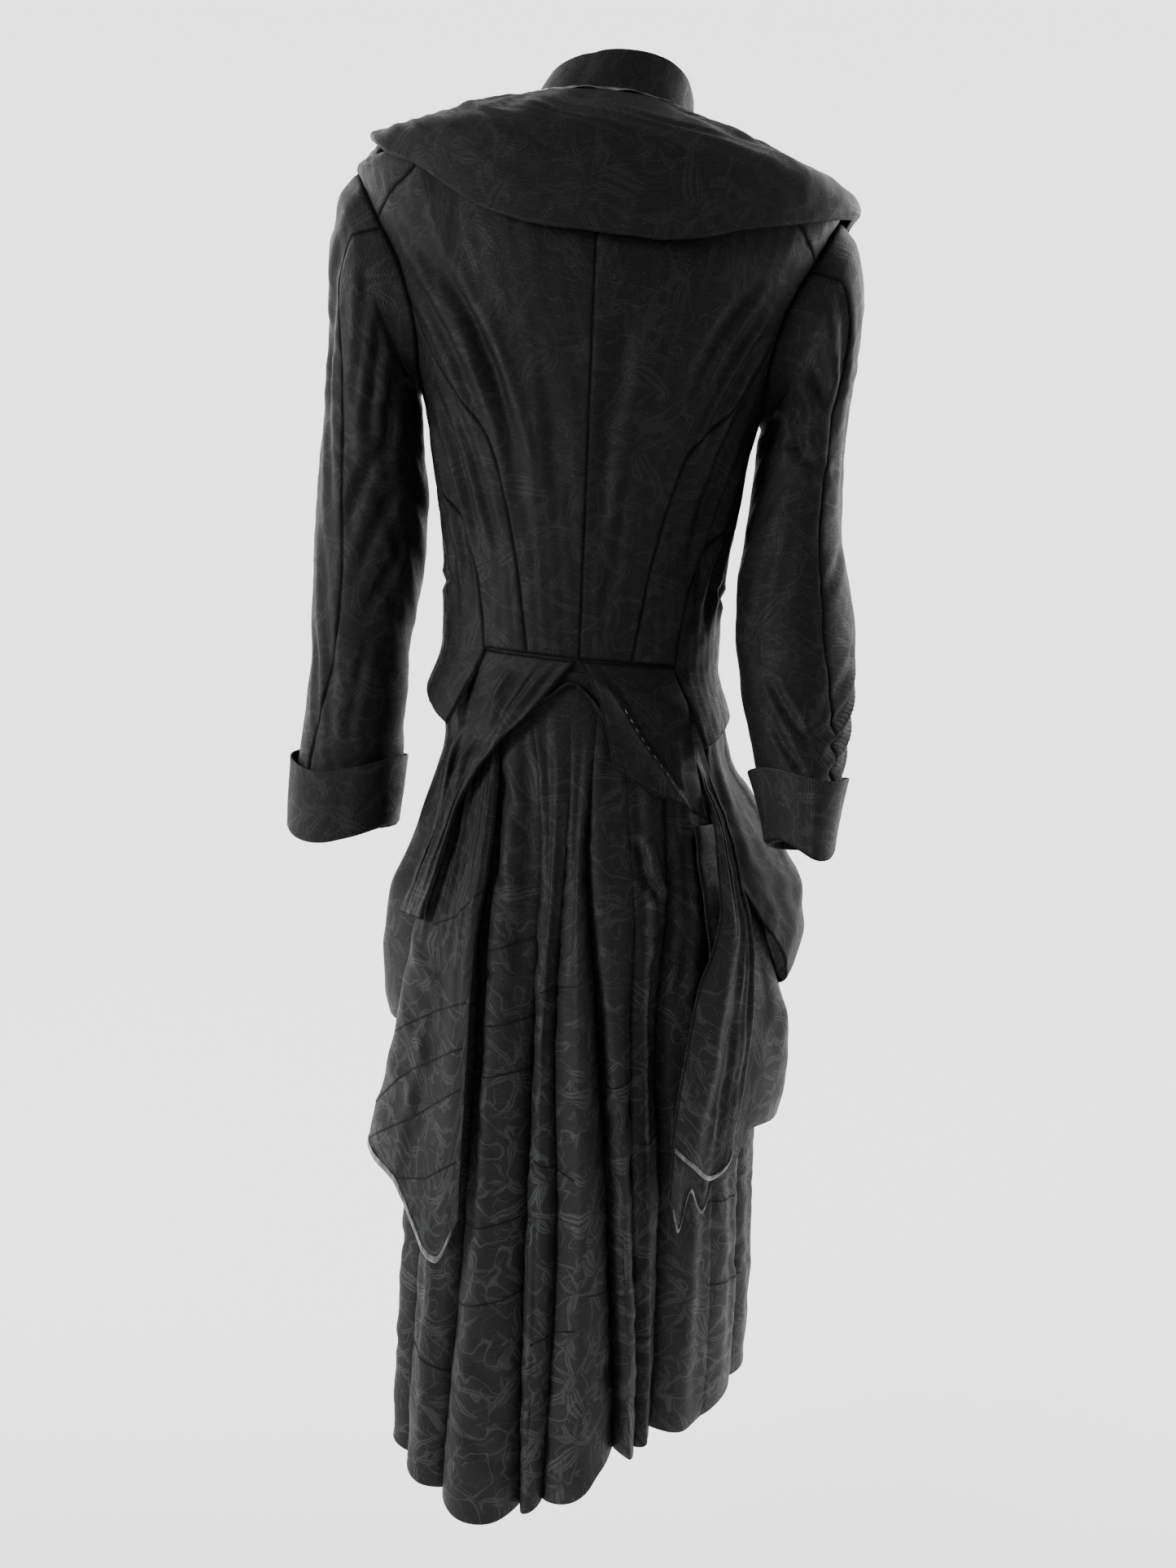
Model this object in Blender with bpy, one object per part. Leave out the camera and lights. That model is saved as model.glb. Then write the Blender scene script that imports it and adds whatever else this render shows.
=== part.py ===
"""A long fitted black coat in leaf-figured cloth, as worn: a fitted bodice with a cape collar, two-piece
sleeves with turned-back cuffs, and a full skirt hung with swags, a cascade and pointed side drapes.

Metres, +Z up, +Y the wearer's back, +X the wearer's left. The origin is where the shoulders hold the coat:
the middle of the neck opening, at the height where the neck meets the shoulders.
Angles go round the wearer in degrees: 0 at centre back, 90 at the wearer's left, 180 at centre front.
"""

import bpy
import numpy as np

# Driving sizes
CLOTH = 0.0018  # thickness of the figured cloth with its lining
SEAM = 0.0005  # gap left at a sewn seam
ARM_GAP = 0.0010  # gap between the sleeve head and the armhole
NECK = 0.10  # level of the neckline ring, counted on past the shoulder tips
WAIST = -0.420  # level of the waist seam
SKIRT_TOP = -0.412  # the skirt's top edge, tucked up inside the waist seam
SHOULDER_RISE = 0.055  # how much higher each level lies for each metre towards the wearer's left
ARMHOLE_TOP = -0.037
ARMHOLE_HEIGHT = 0.172
ARMHOLE_BACK = 0.064
ARMHOLE_FRONT = 0.060
ARMHOLE_STEPS = 24  # steps round an armhole or a sleeve
FRONT_EDGE = 186.0  # angle that each front reaches, past centre front
FRONT_LAP = 0.0060  # how far the right front stands out over the left
FRONT_NECK = -0.210  # level where the neckline ends at the front edge
COLLAR_END = 168.0
STAND_END = 132.0
COLLAR_FOLD = 0.0060  # height of the soft fold along the collar's outer edge
COLLAR_RETURN = 0.004  # cloth turned back under that fold
BINDING = 0.0010  # thickness of the satin binding
BUTTON_RADIUS = 0.011
BUTTON_THICK = 0.004
BUTTON_LEVELS = (-0.245, -0.300, -0.355, -0.405)

BLACK = (0.018, 0.018, 0.020, 1)
SATIN_GREY = (0.07, 0.07, 0.075, 1)
HORN = (0.02, 0.018, 0.018, 1)


def table(columns, *rows):
    """Named columns from rows of numbers."""
    return dict(zip(columns.split(), np.array(rows, float).T))


# Level rings of the bodice. Below the waist they carry only the side panels' pointed skirts; past the
# shoulder tips, at level -0.037, they close in to the neck.
BODICE = table(
    "level half_width back front power back_z side_z front_z",
    (-0.520, 0.158, 0.127, 0.129, 2.00, -0.520, -0.520, -0.520),
    (-0.470, 0.141, 0.110, 0.112, 2.00, -0.470, -0.470, -0.470),
    (-0.420, 0.126, 0.093, 0.096, 2.00, -0.420, -0.420, -0.420),
    (-0.360, 0.126, 0.096, 0.104, 2.05, -0.360, -0.360, -0.360),
    (-0.300, 0.132, 0.104, 0.116, 2.15, -0.300, -0.300, -0.300),
    (-0.240, 0.141, 0.112, 0.125, 2.20, -0.240, -0.240, -0.240),
    (-0.180, 0.156, 0.118, 0.125, 2.25, -0.180, -0.180, -0.180),
    (-0.120, 0.179, 0.120, 0.118, 2.30, -0.120, -0.120, -0.120),
    (-0.075, 0.197, 0.117, 0.110, 2.35, -0.075, -0.075, -0.075),
    (-0.037, 0.205, 0.111, 0.103, 2.40, -0.037, -0.037, -0.037),
    (0.010, 0.168, 0.100, 0.096, 2.30, -0.019, -0.023, -0.024),
    (0.055, 0.122, 0.082, 0.085, 2.10, 0.001, -0.011, -0.010),
    (0.100, 0.078, 0.062, 0.070, 2.00, 0.020, 0.002, 0.002),
)

# Level rings of the skirt's fold crests. Skew carries the left side back and the right side forward.
SKIRT = table(
    "level middle half_width back front skew",
    (-1.230, -0.026, 0.180, 0.141, 0.150, 0.30),
    (-1.100, -0.026, 0.181, 0.138, 0.148, 0.24),
    (-0.950, -0.024, 0.176, 0.131, 0.142, 0.16),
    (-0.800, -0.022, 0.170, 0.124, 0.136, 0.08),
    (-0.680, -0.019, 0.158, 0.116, 0.126, 0.03),
    (-0.580, -0.014, 0.133, 0.106, 0.112, 0.00),
    (-0.500, -0.008, 0.1220, 0.0970, 0.1000, 0.00),
    (-0.455, -0.003, 0.1225, 0.0920, 0.0950, 0.00),
    (-0.430, 0.000, 0.1228, 0.0900, 0.0930, 0.00),
    (-0.412, 0.000, 0.1234, 0.0904, 0.0934, 0.00),
)

# Seams down the bodice: the angle of each at a few levels.
PRINCESS_SEAM = table("level angle", (-0.42, 20.9), (-0.36, 24.6), (-0.30, 28.0), (-0.245, 34.5), (-0.19, 47.0))
SIDE_BACK_SEAM = table("level angle", (-0.42, 41.0), (-0.36, 45.0), (-0.32, 54.0), (-0.285, 68.0), (-0.248, 74.0))
SIDE_FRONT_SEAM = table("level angle", (-0.42, 124.0), (-0.33, 120.0), (-0.248, 110.0))
BODY_LEVELS = np.array([-0.420, -0.390, -0.355, -0.320, -0.284, -0.248])  # rows that meet along those seams
PRINCESS_STEP, SIDE_STEP, FRONT_STEP, YOKE_STEP = 7, 10, 14, 4  # armhole steps where seams run into it
YOKE_START = 0.45  # share of the back's width, at the neck, where the yoke begins
YOKE_SEAM = table("share level", (0.45, 0.100), (0.60, -0.040), (0.80, -0.062), (1.00, -0.080))
YOKE_FRONT = 130.0  # angle of the yoke's front corner at the neck

NECKLINE = table(
    "angle level",
    (0, 0.10),
    (108, 0.10),
    (130, 0.085),
    (150, 0.04),
    (165, -0.05),
    (176, -0.14),
    (186, FRONT_NECK),
)

# Sleeves, ring by ring from the armhole: the outer and inner edges as (x, z), the half depth from front
# to back, the middle's y, and the nod that tips a ring to follow the elbow's bend.
LEFT_SLEEVE = table(
    "outer_x outer_z inner_x inner_z half_depth y nod",
    (0.2050, -0.026, 0.1490, -0.2010, 0.062, 0.000, 0.0),
    (0.2185, -0.041, 0.1510, -0.2045, 0.065, 0.000, 0.0),
    (0.2265, -0.074, 0.1500, -0.2080, 0.066, 0.000, 0.0),
    (0.2295, -0.112, 0.1490, -0.2140, 0.064, 0.000, 0.0),
    (0.2290, -0.152, 0.1480, -0.2230, 0.062, 0.000, 0.0),
    (0.2315, -0.198, 0.1470, -0.2380, 0.060, 0.000, 0.0),
    (0.2370, -0.248, 0.1450, -0.2630, 0.057, -0.004, 0.0),
    (0.2420, -0.295, 0.1430, -0.2980, 0.054, -0.008, 0.05),
    (0.2460, -0.345, 0.1450, -0.3450, 0.051, -0.015, 0.08),
    (0.2490, -0.392, 0.1530, -0.3920, 0.048, -0.022, 0.10),
    (0.2510, -0.438, 0.1605, -0.4380, 0.046, -0.029, 0.10),
    (0.2580, -0.488, 0.1640, -0.4880, 0.045, -0.035, 0.10),
    (0.2660, -0.538, 0.1680, -0.5380, 0.044, -0.041, 0.10),
    (0.2740, -0.586, 0.1720, -0.5860, 0.044, -0.046, 0.10),
    (0.2765, -0.604, 0.1730, -0.6040, 0.044, -0.048, 0.10),
)
RIGHT_SLEEVE = table(
    "outer_x outer_z inner_x inner_z half_depth y nod",
    (0.2050, -0.048, 0.1490, -0.2170, 0.062, 0.000, 0.0),
    (0.2190, -0.062, 0.1510, -0.2205, 0.065, 0.001, 0.0),
    (0.2280, -0.092, 0.1500, -0.2240, 0.066, 0.002, 0.0),
    (0.2310, -0.128, 0.1490, -0.2300, 0.064, 0.004, 0.0),
    (0.2280, -0.166, 0.1480, -0.2400, 0.062, 0.007, 0.05),
    (0.2235, -0.210, 0.1465, -0.2550, 0.060, 0.012, 0.10),
    (0.2215, -0.256, 0.1445, -0.2800, 0.057, 0.020, 0.15),
    (0.2225, -0.303, 0.1400, -0.3120, 0.054, 0.030, 0.20),
    (0.2285, -0.345, 0.1350, -0.3480, 0.051, 0.042, 0.25),
    (0.2365, -0.392, 0.1340, -0.3920, 0.048, 0.058, 0.30),
    (0.2355, -0.434, 0.1385, -0.4340, 0.046, 0.075, 0.32),
    (0.2310, -0.474, 0.1470, -0.4740, 0.044, 0.091, 0.34),
    (0.2250, -0.512, 0.1555, -0.5120, 0.043, 0.105, 0.34),
    (0.2200, -0.549, 0.1635, -0.5490, 0.043, 0.118, 0.34),
    (0.2185, -0.566, 0.1660, -0.5660, 0.043, 0.124, 0.34),
)
ELBOW_SEAM = table("ring turn", (0, 66), (3, 55), (6, 66), (9, 72), (12, 50), (14, 45))  # on the sleeve's back
ARM_FRONT_SEAM = -105.0

# Collar: its outer edge over the bodice, and the stand's top edge with the share of it that the collar covers.
COLLAR_EDGE = table(
    "angle level out",
    (-168, -0.226, 0.012),
    (-150, -0.165, 0.014),
    (-125, -0.105, 0.014),
    (-112, -0.058, 0.015),
    (-100, -0.036, 0.015),
    (-85, -0.034, 0.015),
    (-60, -0.050, 0.015),
    (-33, -0.069, 0.017),
    (-10, -0.089, 0.018),
    (8, -0.087, 0.018),
    (20, -0.079, 0.018),
    (38, -0.050, 0.017),
    (60, -0.024, 0.016),
    (80, -0.004, 0.016),
    (98, -0.020, 0.015),
    (112, -0.055, 0.015),
    (125, -0.105, 0.014),
    (150, -0.165, 0.014),
    (168, -0.226, 0.012),
)
STAND = table(
    "angle top seat",
    (-132, 0.010, 0.55),
    (-115, 0.022, 0.62),
    (-90, 0.036, 0.66),
    (-60, 0.055, 0.46),
    (-30, 0.065, 0.32),
    (0, 0.067, 0.28),
    (30, 0.064, 0.36),
    (60, 0.058, 0.58),
    (90, 0.048, 0.70),
    (115, 0.030, 0.62),
    (132, 0.015, 0.55),
)
STAND_TAPER = 0.80  # size of the stand's top over its bottom
STAND_SHIFT = -0.014  # the stand's top leans to the wearer's right

# Grooves between the skirt's hanging folds: the angle of each at five levels, its depth, and how far the
# fold that follows it stands out.
GROOVE_LEVELS = (-0.45, -0.60, -0.75, -0.95, -1.19)
BACK_GROOVES = table(
    "waist hip thigh knee hem depth crest",
    (45.0, 45.0, 42.0, 43.0, 49.0, 0.020, 0.000),
    (22.0, 18.5, 18.5, 19.0, 18.0, 0.026, -0.006),
    (4.0, 8.5, 11.0, 8.5, 10.0, 0.022, 0.000),
    (-7.0, 0.5, -4.0, -9.5, -14.5, 0.034, -0.005),
    (-16.0, -17.5, -15.0, -17.5, -21.5, 0.024, -0.014),
    (-36.0, -34.0, -26.0, -29.0, -28.0, 0.036, -0.012),
)
LEFT_GROOVES = table(
    "waist hip thigh knee hem depth crest",
    (187.0, 187.0, 187.0, 187.0, 187.0, 0.000, 0.000),
    (160.0, 159.0, 160.0, 161.0, 162.0, 0.012, 0.000),
    (138.0, 136.0, 135.0, 137.0, 139.0, 0.016, -0.003),
    (116.0, 113.0, 112.0, 110.0, 108.0, 0.012, 0.000),
    (90.0, 91.0, 92.0, 92.0, 90.0, 0.017, -0.002),
    (66.0, 67.0, 67.0, 66.0, 70.0, 0.013, -0.004),
    (45.0, 45.0, 42.0, 43.0, 49.0, 0.020, 0.000),
)
RIGHT_GROOVES = table(
    "waist hip thigh knee hem depth crest",
    (-36.0, -34.0, -26.0, -29.0, -28.0, 0.036, -0.012),
    (-54.0, -52.0, -48.0, -50.0, -49.0, 0.015, -0.010),
    (-74.0, -72.0, -70.0, -70.0, -72.0, 0.017, -0.005),
    (-95.0, -94.0, -92.0, -93.0, -92.0, 0.012, 0.000),
    (-118.0, -116.0, -114.0, -116.0, -115.0, 0.017, -0.002),
    (-140.0, -139.0, -140.0, -138.0, -141.0, 0.011, 0.000),
    (-162.0, -163.0, -161.0, -162.0, -163.0, 0.013, 0.000),
    (-187.0, -187.0, -187.0, -187.0, -187.0, 0.000, 0.000),
)
HEM = table(
    "angle level",
    (-187, -1.180),
    (-140, -1.176),
    (-85, -1.156),
    (-40, -1.168),
    (-28, -1.160),
    (-21, -1.170),
    (-14, -1.166),
    (0, -1.196),
    (14, -1.206),
    (25, -1.217),
    (36, -1.214),
    (50, -1.204),
    (90, -1.180),
    (140, -1.186),
    (187, -1.184),
)
SKIRT_ROWS = np.array([0, 0.03, 0.08, 0.15, 0.24, 0.36, 0.50, 0.64, 0.78, 0.90, 1.0])
NARROW_FOLD = np.array([0.0, 0.12, 0.32, 0.50, 0.68, 0.88])
BROAD_FOLD = np.array([0.0, 0.18, 0.50, 0.82])


def through(x, xs, ys):
    """Smooth curve through the points (xs, ys), level at turning points so that it never overshoots."""
    order = np.argsort(xs)
    xs, ys = np.asarray(xs, float)[order], np.asarray(ys, float)[order]
    step, rise = np.diff(xs), np.diff(ys)
    slope = rise / step
    same = slope[:-1] * slope[1:] > 0
    total = np.where(same, slope[:-1] + slope[1:], 1.0)
    inner = np.where(same, 2 * slope[:-1] * slope[1:] / total, 0.0)
    tangent = np.concatenate([slope[:1], inner, slope[-1:]])
    x = np.clip(np.asarray(x, float), xs[0], xs[-1])
    i = np.clip(np.searchsorted(xs, x) - 1, 0, len(step) - 1)
    t = (x - xs[i]) / step[i]
    return (
        ys[i] * (1 + 2 * t) * (1 - t) ** 2
        + ys[i + 1] * t * t * (3 - 2 * t)
        + step[i] * tangent[i] * t * (1 - t) ** 2
        - step[i] * tangent[i + 1] * t * t * (1 - t)
    )


def smooth(x, low, high):
    """0 at low, 1 at high, and an even S between them."""
    t = np.clip((np.asarray(x, float) - low) / (high - low), 0, 1)
    return t * t * (3 - 2 * t)


def powered(value, exponent):
    return np.sign(value) * np.abs(value) ** exponent


def unit(vectors):
    return vectors / np.maximum(np.linalg.norm(vectors, axis=-1, keepdims=True), 1e-12)


def sizes_at(rows, level):
    """Every column of a table at the given levels."""
    return {name: through(level, rows["level"], values) for name, values in rows.items()}


def leaned(x, y, z):
    """The levels rise towards the wearer's left, less and less down the skirt."""
    share = smooth(z, -0.85, -0.45)
    return np.stack(np.broadcast_arrays(x, y, z + SHOULDER_RISE * share * x), -1)


def on_bodice(angle, level):
    """Point on the bodice's outer surface: a rounded-square ring at each level."""
    turn = np.radians(angle)
    size = sizes_at(BODICE, level)
    across = powered(np.sin(turn), 2 / size["power"])
    along = powered(np.cos(turn), 2 / size["power"])
    behind = along > 0
    depth = np.where(behind, size["back"], size["front"])
    end_z = np.where(behind, size["back_z"], size["front_z"])
    z = size["side_z"] + (end_z - size["side_z"]) * np.cos(turn) ** 2
    return leaned(size["half_width"] * across, depth * along, z)


def on_skirt(angle, level, out):
    """Point at a distance out from the skirt's ring of fold crests."""
    turn = np.radians(angle)
    size = sizes_at(SKIRT, level)
    across = (size["half_width"] + out) * np.sin(turn)
    depth = np.where(np.cos(turn) > 0, size["back"], size["front"])
    along = (depth + out) * np.cos(turn) + size["skew"] * across
    return leaned(size["middle"] + across, along, level)


def bodice_normals(angle, level):
    """Unit normals of the bodice's surface, turned outwards."""
    along = on_bodice(angle + 0.5, level) - on_bodice(angle - 0.5, level)
    up = on_bodice(angle, level + 0.001) - on_bodice(angle, level - 0.001)
    normal = unit(np.cross(along, up))
    middle = np.array([0, 0, -0.20])
    return normal * np.sign(np.einsum("...i,...i->...", normal, on_bodice(angle, level) - middle))[..., None]


def mitred_normals(points):
    """Normals at a grid's points, lengthened where the cloth bends so that it keeps its thickness."""
    faces = unit(np.cross(points[1:, 1:] - points[:-1, :-1], points[:-1, 1:] - points[1:, :-1]))
    rows, columns = faces.shape[:2]
    corners = [(slice(a, a + rows), slice(b, b + columns)) for a in (0, 1) for b in (0, 1)]
    around, count, agreement = np.zeros(points.shape), np.zeros(points.shape[:2]), np.zeros(points.shape[:2])
    for corner in corners:
        around[corner] += faces
        count[corner] += 1
    normal = unit(around)
    for corner in corners:
        agreement[corner] += np.einsum("...i,...i->...", faces, normal[corner])
    return normal / np.maximum(agreement / count, 0.5)[..., None]


def material(name, colour, roughness):
    made = bpy.data.materials.new(name)
    made.use_nodes = True
    shader = made.node_tree.nodes["Principled BSDF"]
    shader.inputs["Base Color"].default_value = colour
    shader.inputs["Roughness"].default_value = roughness
    made.diffuse_color = colour
    return made


def solid(name, points, faces, finish):
    """A closed mesh as an object, its faces turned outwards."""
    mesh = bpy.data.meshes.new(name)
    mesh.from_pydata(points.tolist(), [], faces)
    corners = points[np.array(faces)]
    if np.einsum("ij,ij->", corners[:, 0], np.cross(corners[:, 1], corners[:, 2])) < 0:
        mesh.flip_normals()
    mesh.shade_smooth()
    mesh.set_sharp_from_angle(angle=np.radians(50))
    mesh.materials.append(finish)
    bpy.context.collection.objects.link(bpy.data.objects.new(name, mesh))


def wall(name, outer, inner, finish, closed=False):
    """A sheet of cloth between two grids of points; closed joins its last column to its first."""
    rows, columns = outer.shape[:2]
    half = rows * columns
    low = half - columns
    flat = outer.reshape(-1, 3)
    faces = []
    for c in range(columns if closed else columns - 1):
        right = (c + 1) % columns
        for r in range(rows - 1):
            a, b = r * columns + c, r * columns + right
            d, e = a + columns, b + columns
            if np.linalg.norm(flat[a] - flat[e]) > np.linalg.norm(flat[b] - flat[d]):
                a, b, d, e = d, a, e, b
            faces += [(a, d, e), (a, e, b), (half + a, half + e, half + d), (half + a, half + b, half + e)]
        faces += [(c, right, half + right), (c, half + right, half + c)]
        faces += [(low + c, half + low + right, low + right), (low + c, half + low + c, half + low + right)]
    if not closed:
        for r in range(rows - 1):
            a, d = r * columns, (r + 1) * columns
            b, e = a + columns - 1, d + columns - 1
            faces += [(a, half + d, d), (a, half + a, half + d), (b, e, half + e), (b, half + e, half + b)]
    solid(name, np.concatenate([flat, inner.reshape(-1, 3)]), faces, finish)


def drawn_in(points, gap):
    """A grid with its four edges moved in by a gap."""
    moved = points.copy()
    for edge, inside in ((0, 1), (-1, -2)):
        moved[edge] += gap * unit(points[inside] - points[edge])
        moved[:, edge] += gap * unit(points[:, inside] - points[:, edge])
    return moved


def hung(name, angle, level, out, finish):
    """A piece that hangs round the skirt's ring, from grids of its angles, levels and distances out."""
    outer = drawn_in(on_skirt(angle, level, out), SEAM / 2)
    normal = mitred_normals(outer)
    if np.einsum("ijk,ijk->", normal[..., :2], outer[..., :2]) < 0:
        normal = -normal
    wall(name, outer, outer - normal * CLOTH, finish)


def armhole(step):
    """Angle and level on the left armhole: step 0 at the shoulder tip, 6 at the back, 12 at the underarm."""
    turn = 2 * np.pi * np.asarray(step, float) / ARMHOLE_STEPS
    half = ARMHOLE_HEIGHT / 2
    level = ARMHOLE_TOP - half + half * np.cos(turn)
    size = sizes_at(BODICE, level)
    behind = np.sin(turn) > 0
    y = np.where(behind, ARMHOLE_BACK, ARMHOLE_FRONT) * np.sin(turn)
    along = powered(y / np.where(behind, size["back"], size["front"]), size["power"] / 2)
    return np.degrees(np.arccos(np.clip(along, -1, 1))), level


def neckline(angle):
    return through(np.abs(angle), NECKLINE["angle"], NECKLINE["level"])


def front_lap(angle):
    """How far the right front and the right side of the skirt stand out where they cover the left."""
    return FRONT_LAP * smooth(-np.asarray(angle, float), 146, 172)


def panel(name, angle, level, side, finish):
    """A bodice panel over a grid of angles and levels; side is 1 on the wearer's left and -1 on the right."""
    normal = bodice_normals(side * angle, level)
    lap = front_lap(side * angle + 0 * level)[..., None]
    outer = drawn_in(on_bodice(side * angle, level), SEAM / 2) + normal * lap
    wall(name, outer, outer - normal * CLOTH, finish)


def seam(rows, step):
    """Angles and levels of a seam, from the waist up to a step of the armhole."""
    end_angle, end_level = armhole(step)
    last = BODY_LEVELS[-1]
    levels = np.concatenate([BODY_LEVELS, last + (end_level - last) * np.array([1, 2, 3]) / 3])
    lead_in = smooth(levels, last, end_level)
    return through(levels, rows["level"], rows["angle"]) * (1 - lead_in) + end_angle * lead_in, levels


def between(start, end, shares):
    """Grid of values that run from start to end, a column for each share."""
    return np.asarray(start)[:, None] * (1 - shares) + np.asarray(end)[:, None] * shares


def raised(low, top, climb):
    """Rows that climb from a low row to a top row, leaving out the low one."""
    return low + (top - low) * np.asarray(climb)[1:, None]


def towards_armhole(angle, level, steps):
    """Bends the three rows above the body levels, so that the last one runs along the armhole."""
    arm_angle, arm_level = armhole(steps)
    angle_change, level_change = arm_angle - angle[-1], arm_level - level[-1]
    for row, share in ((-3, 1 / 3), (-2, 2 / 3), (-1, 1)):
        angle[row] += angle_change * share
        level[row] += level_change * share
    return angle, level


def back_panel(tag, side, finish):
    """Centre back to the princess seam and the armhole, up to the neck and the yoke seam."""
    shares = np.concatenate([np.linspace(0, YOKE_START, 4), np.linspace(YOKE_START, 1, 4)[1:]])
    edge_angle, edge_level = seam(PRINCESS_SEAM, PRINCESS_STEP)
    arm_angle, arm_level = armhole(np.arange(PRINCESS_STEP, YOKE_STEP - 1, -1.0))
    angle = between(np.zeros(len(edge_angle)), edge_angle, shares)
    level = between(edge_level, edge_level, shares)
    top = through(shares, YOKE_SEAM["share"], YOKE_SEAM["level"])
    climb = (arm_level - arm_level[0]) / (arm_level[-1] - arm_level[0])
    angle = np.concatenate([angle, shares * arm_angle[1:, None]])
    level = np.concatenate([level, raised(level[-1], top, climb)])
    panel(f"back_{tag}", angle, level, side, finish)


def side_back_panel(tag, side, finish):
    """Princess seam to side-back seam, its top edge along the armhole."""
    columns = np.linspace(0, 1, 4)
    start, end = seam(PRINCESS_SEAM, PRINCESS_STEP), seam(SIDE_BACK_SEAM, SIDE_STEP)
    angle, level = (between(a, b, columns) for a, b in zip(start, end))
    angle, level = towards_armhole(angle, level, np.linspace(PRINCESS_STEP, SIDE_STEP, 4))
    panel(f"side_back_{tag}", angle, level, side, finish)


def side_panel(tag, side, finish):
    """Side-back seam to side-front seam, running on below the waist as a flap with a point at the back."""
    columns = np.linspace(0, 1, 9)
    start, end = seam(SIDE_BACK_SEAM, SIDE_STEP), seam(SIDE_FRONT_SEAM, FRONT_STEP)
    angle, level = (between(a, b, columns) for a, b in zip(start, end))
    angle, level = towards_armhole(angle, level, np.linspace(SIDE_STEP, FRONT_STEP, 9))
    drop = np.array([1, 0.75, 0.5, 0.25])[:, None]
    bottom = through(columns, [0, 0.1, 0.3, 1], [-0.488, -0.484, -0.474, -0.452])
    flap_angle = angle[0] + (1 - columns) ** 2 * 10.0 * drop
    flap_level = WAIST + (bottom - WAIST) * drop
    panel(f"side_{tag}", np.concatenate([flap_angle, angle]), np.concatenate([flap_level, level]), side, finish)


def front_panel(tag, side, finish):
    """Front edge to side-front seam, up to the neckline, the yoke seam and the armhole."""
    edge_angle, edge_level = seam(SIDE_FRONT_SEAM, FRONT_STEP)
    arm_angle, arm_level = armhole(np.arange(FRONT_STEP, ARMHOLE_STEPS - YOKE_STEP + 1.0))
    corner = (FRONT_EDGE - YOKE_FRONT) / (FRONT_EDGE - arm_angle[-1])
    shares = np.concatenate([np.linspace(0, corner, 8), np.linspace(corner, 1, 4)[1:]])
    opening = np.linspace(WAIST, -0.330, len(edge_level))
    angle = between(np.full(len(edge_angle), FRONT_EDGE), edge_angle, shares)
    level = between(opening, edge_level, shares)
    top_angle = FRONT_EDGE + (arm_angle[-1] - FRONT_EDGE) * shares
    neck_level = neckline(YOKE_FRONT)
    yoke_line = neck_level + (arm_level[-1] - neck_level) * yoke_drop(np.clip((shares - corner) / (1 - corner), 0, 1), 1)
    top = np.where(shares < corner + 1e-9, neckline(top_angle), yoke_line)
    climb = (arm_level - arm_level[0]) / (arm_level[-1] - arm_level[0])
    angle = np.concatenate([angle, FRONT_EDGE + (arm_angle[1:, None] - FRONT_EDGE) * shares])
    level = np.concatenate([level, raised(level[-1], top, climb)])
    panel(f"front_{tag}", angle, level, side, finish)


def yoke_drop(along, across):
    """How far down a yoke line has come, 0 at the neck to 1 at the armhole; across is 0 on the back's seam."""
    seam_level = through(YOKE_START + (1 - YOKE_START) * along, YOKE_SEAM["share"], YOKE_SEAM["level"])
    return (NECK - seam_level) / (NECK - YOKE_SEAM["level"][-1]) * (1 - across) + along * across


def yoke(tag, side, finish):
    """Over the shoulder, from the back's yoke seam to the front's, and from the neck to the armhole."""
    along = np.linspace(0, 1, 4)[None, :]
    across = np.linspace(0, 1, 2 * YOKE_STEP + 1)[:, None]
    arm_angle, arm_level = armhole(YOKE_STEP - 2 * YOKE_STEP * across)
    back_corner = YOKE_START * armhole(YOKE_STEP)[0]
    neck_angle = back_corner + (YOKE_FRONT - back_corner) * across
    angle = neck_angle + (arm_angle - neck_angle) * along
    level = neckline(neck_angle) + (arm_level - neckline(neck_angle)) * yoke_drop(along, across)
    panel(f"yoke_{tag}", angle, level, side, finish)


def sleeve_point(side, rows, ring, turn, swell):
    """Point on a sleeve at a ring's number and a turn round it: 0 outside, 90 at the back."""
    ring, turn, swell = (np.asarray(value, float) for value in np.broadcast_arrays(ring, turn, swell))
    number = np.arange(len(rows["y"]))
    size = {name: through(np.maximum(ring, 1), number, values) for name, values in rows.items()}
    cosine, sine = np.cos(np.radians(turn)), np.sin(np.radians(turn))
    middle = np.stack([size["outer_x"] + size["inner_x"], size["outer_z"] + size["inner_z"]], -1) / 2
    reach = np.stack([size["outer_x"] - size["inner_x"], size["outer_z"] - size["inner_z"]], -1) / 2
    length = np.linalg.norm(reach, axis=-1)
    spot = middle + reach * (cosine * (1 + swell / length))[..., None]
    y = (size["half_depth"] + swell) * sine
    point = np.stack([side * spot[..., 0], size["y"] + y, spot[..., 1] + size["nod"] * y], -1)
    angle, level = armhole(turn * ARMHOLE_STEPS / 360)
    start = on_bodice(side * angle, level) + [side * ARM_GAP, 0, 0]
    share = np.clip(1 - ring, 0, 1)[..., None]
    return point * (1 - share) + start * share


def sleeve_piece(name, side, rows, turn, finish):
    """One piece of a sleeve, its columns at the given turns of each ring."""
    ring = np.arange(turn.shape[0], dtype=float)[:, None]
    outer = sleeve_point(side, rows, ring, turn, 0.0)
    around = sleeve_point(side, rows, ring, turn + 2, 0.0) - sleeve_point(side, rows, ring, turn - 2, 0.0)
    above = sleeve_point(side, rows, np.maximum(ring - 0.1, 0), turn, 0.0)
    down = sleeve_point(side, rows, ring + 0.1, turn, 0.0) - above
    normal = unit(np.cross(down, around)) * side
    outer = drawn_in(outer, SEAM / 2)
    wall(name, outer, outer - normal * CLOTH, finish)


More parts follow.
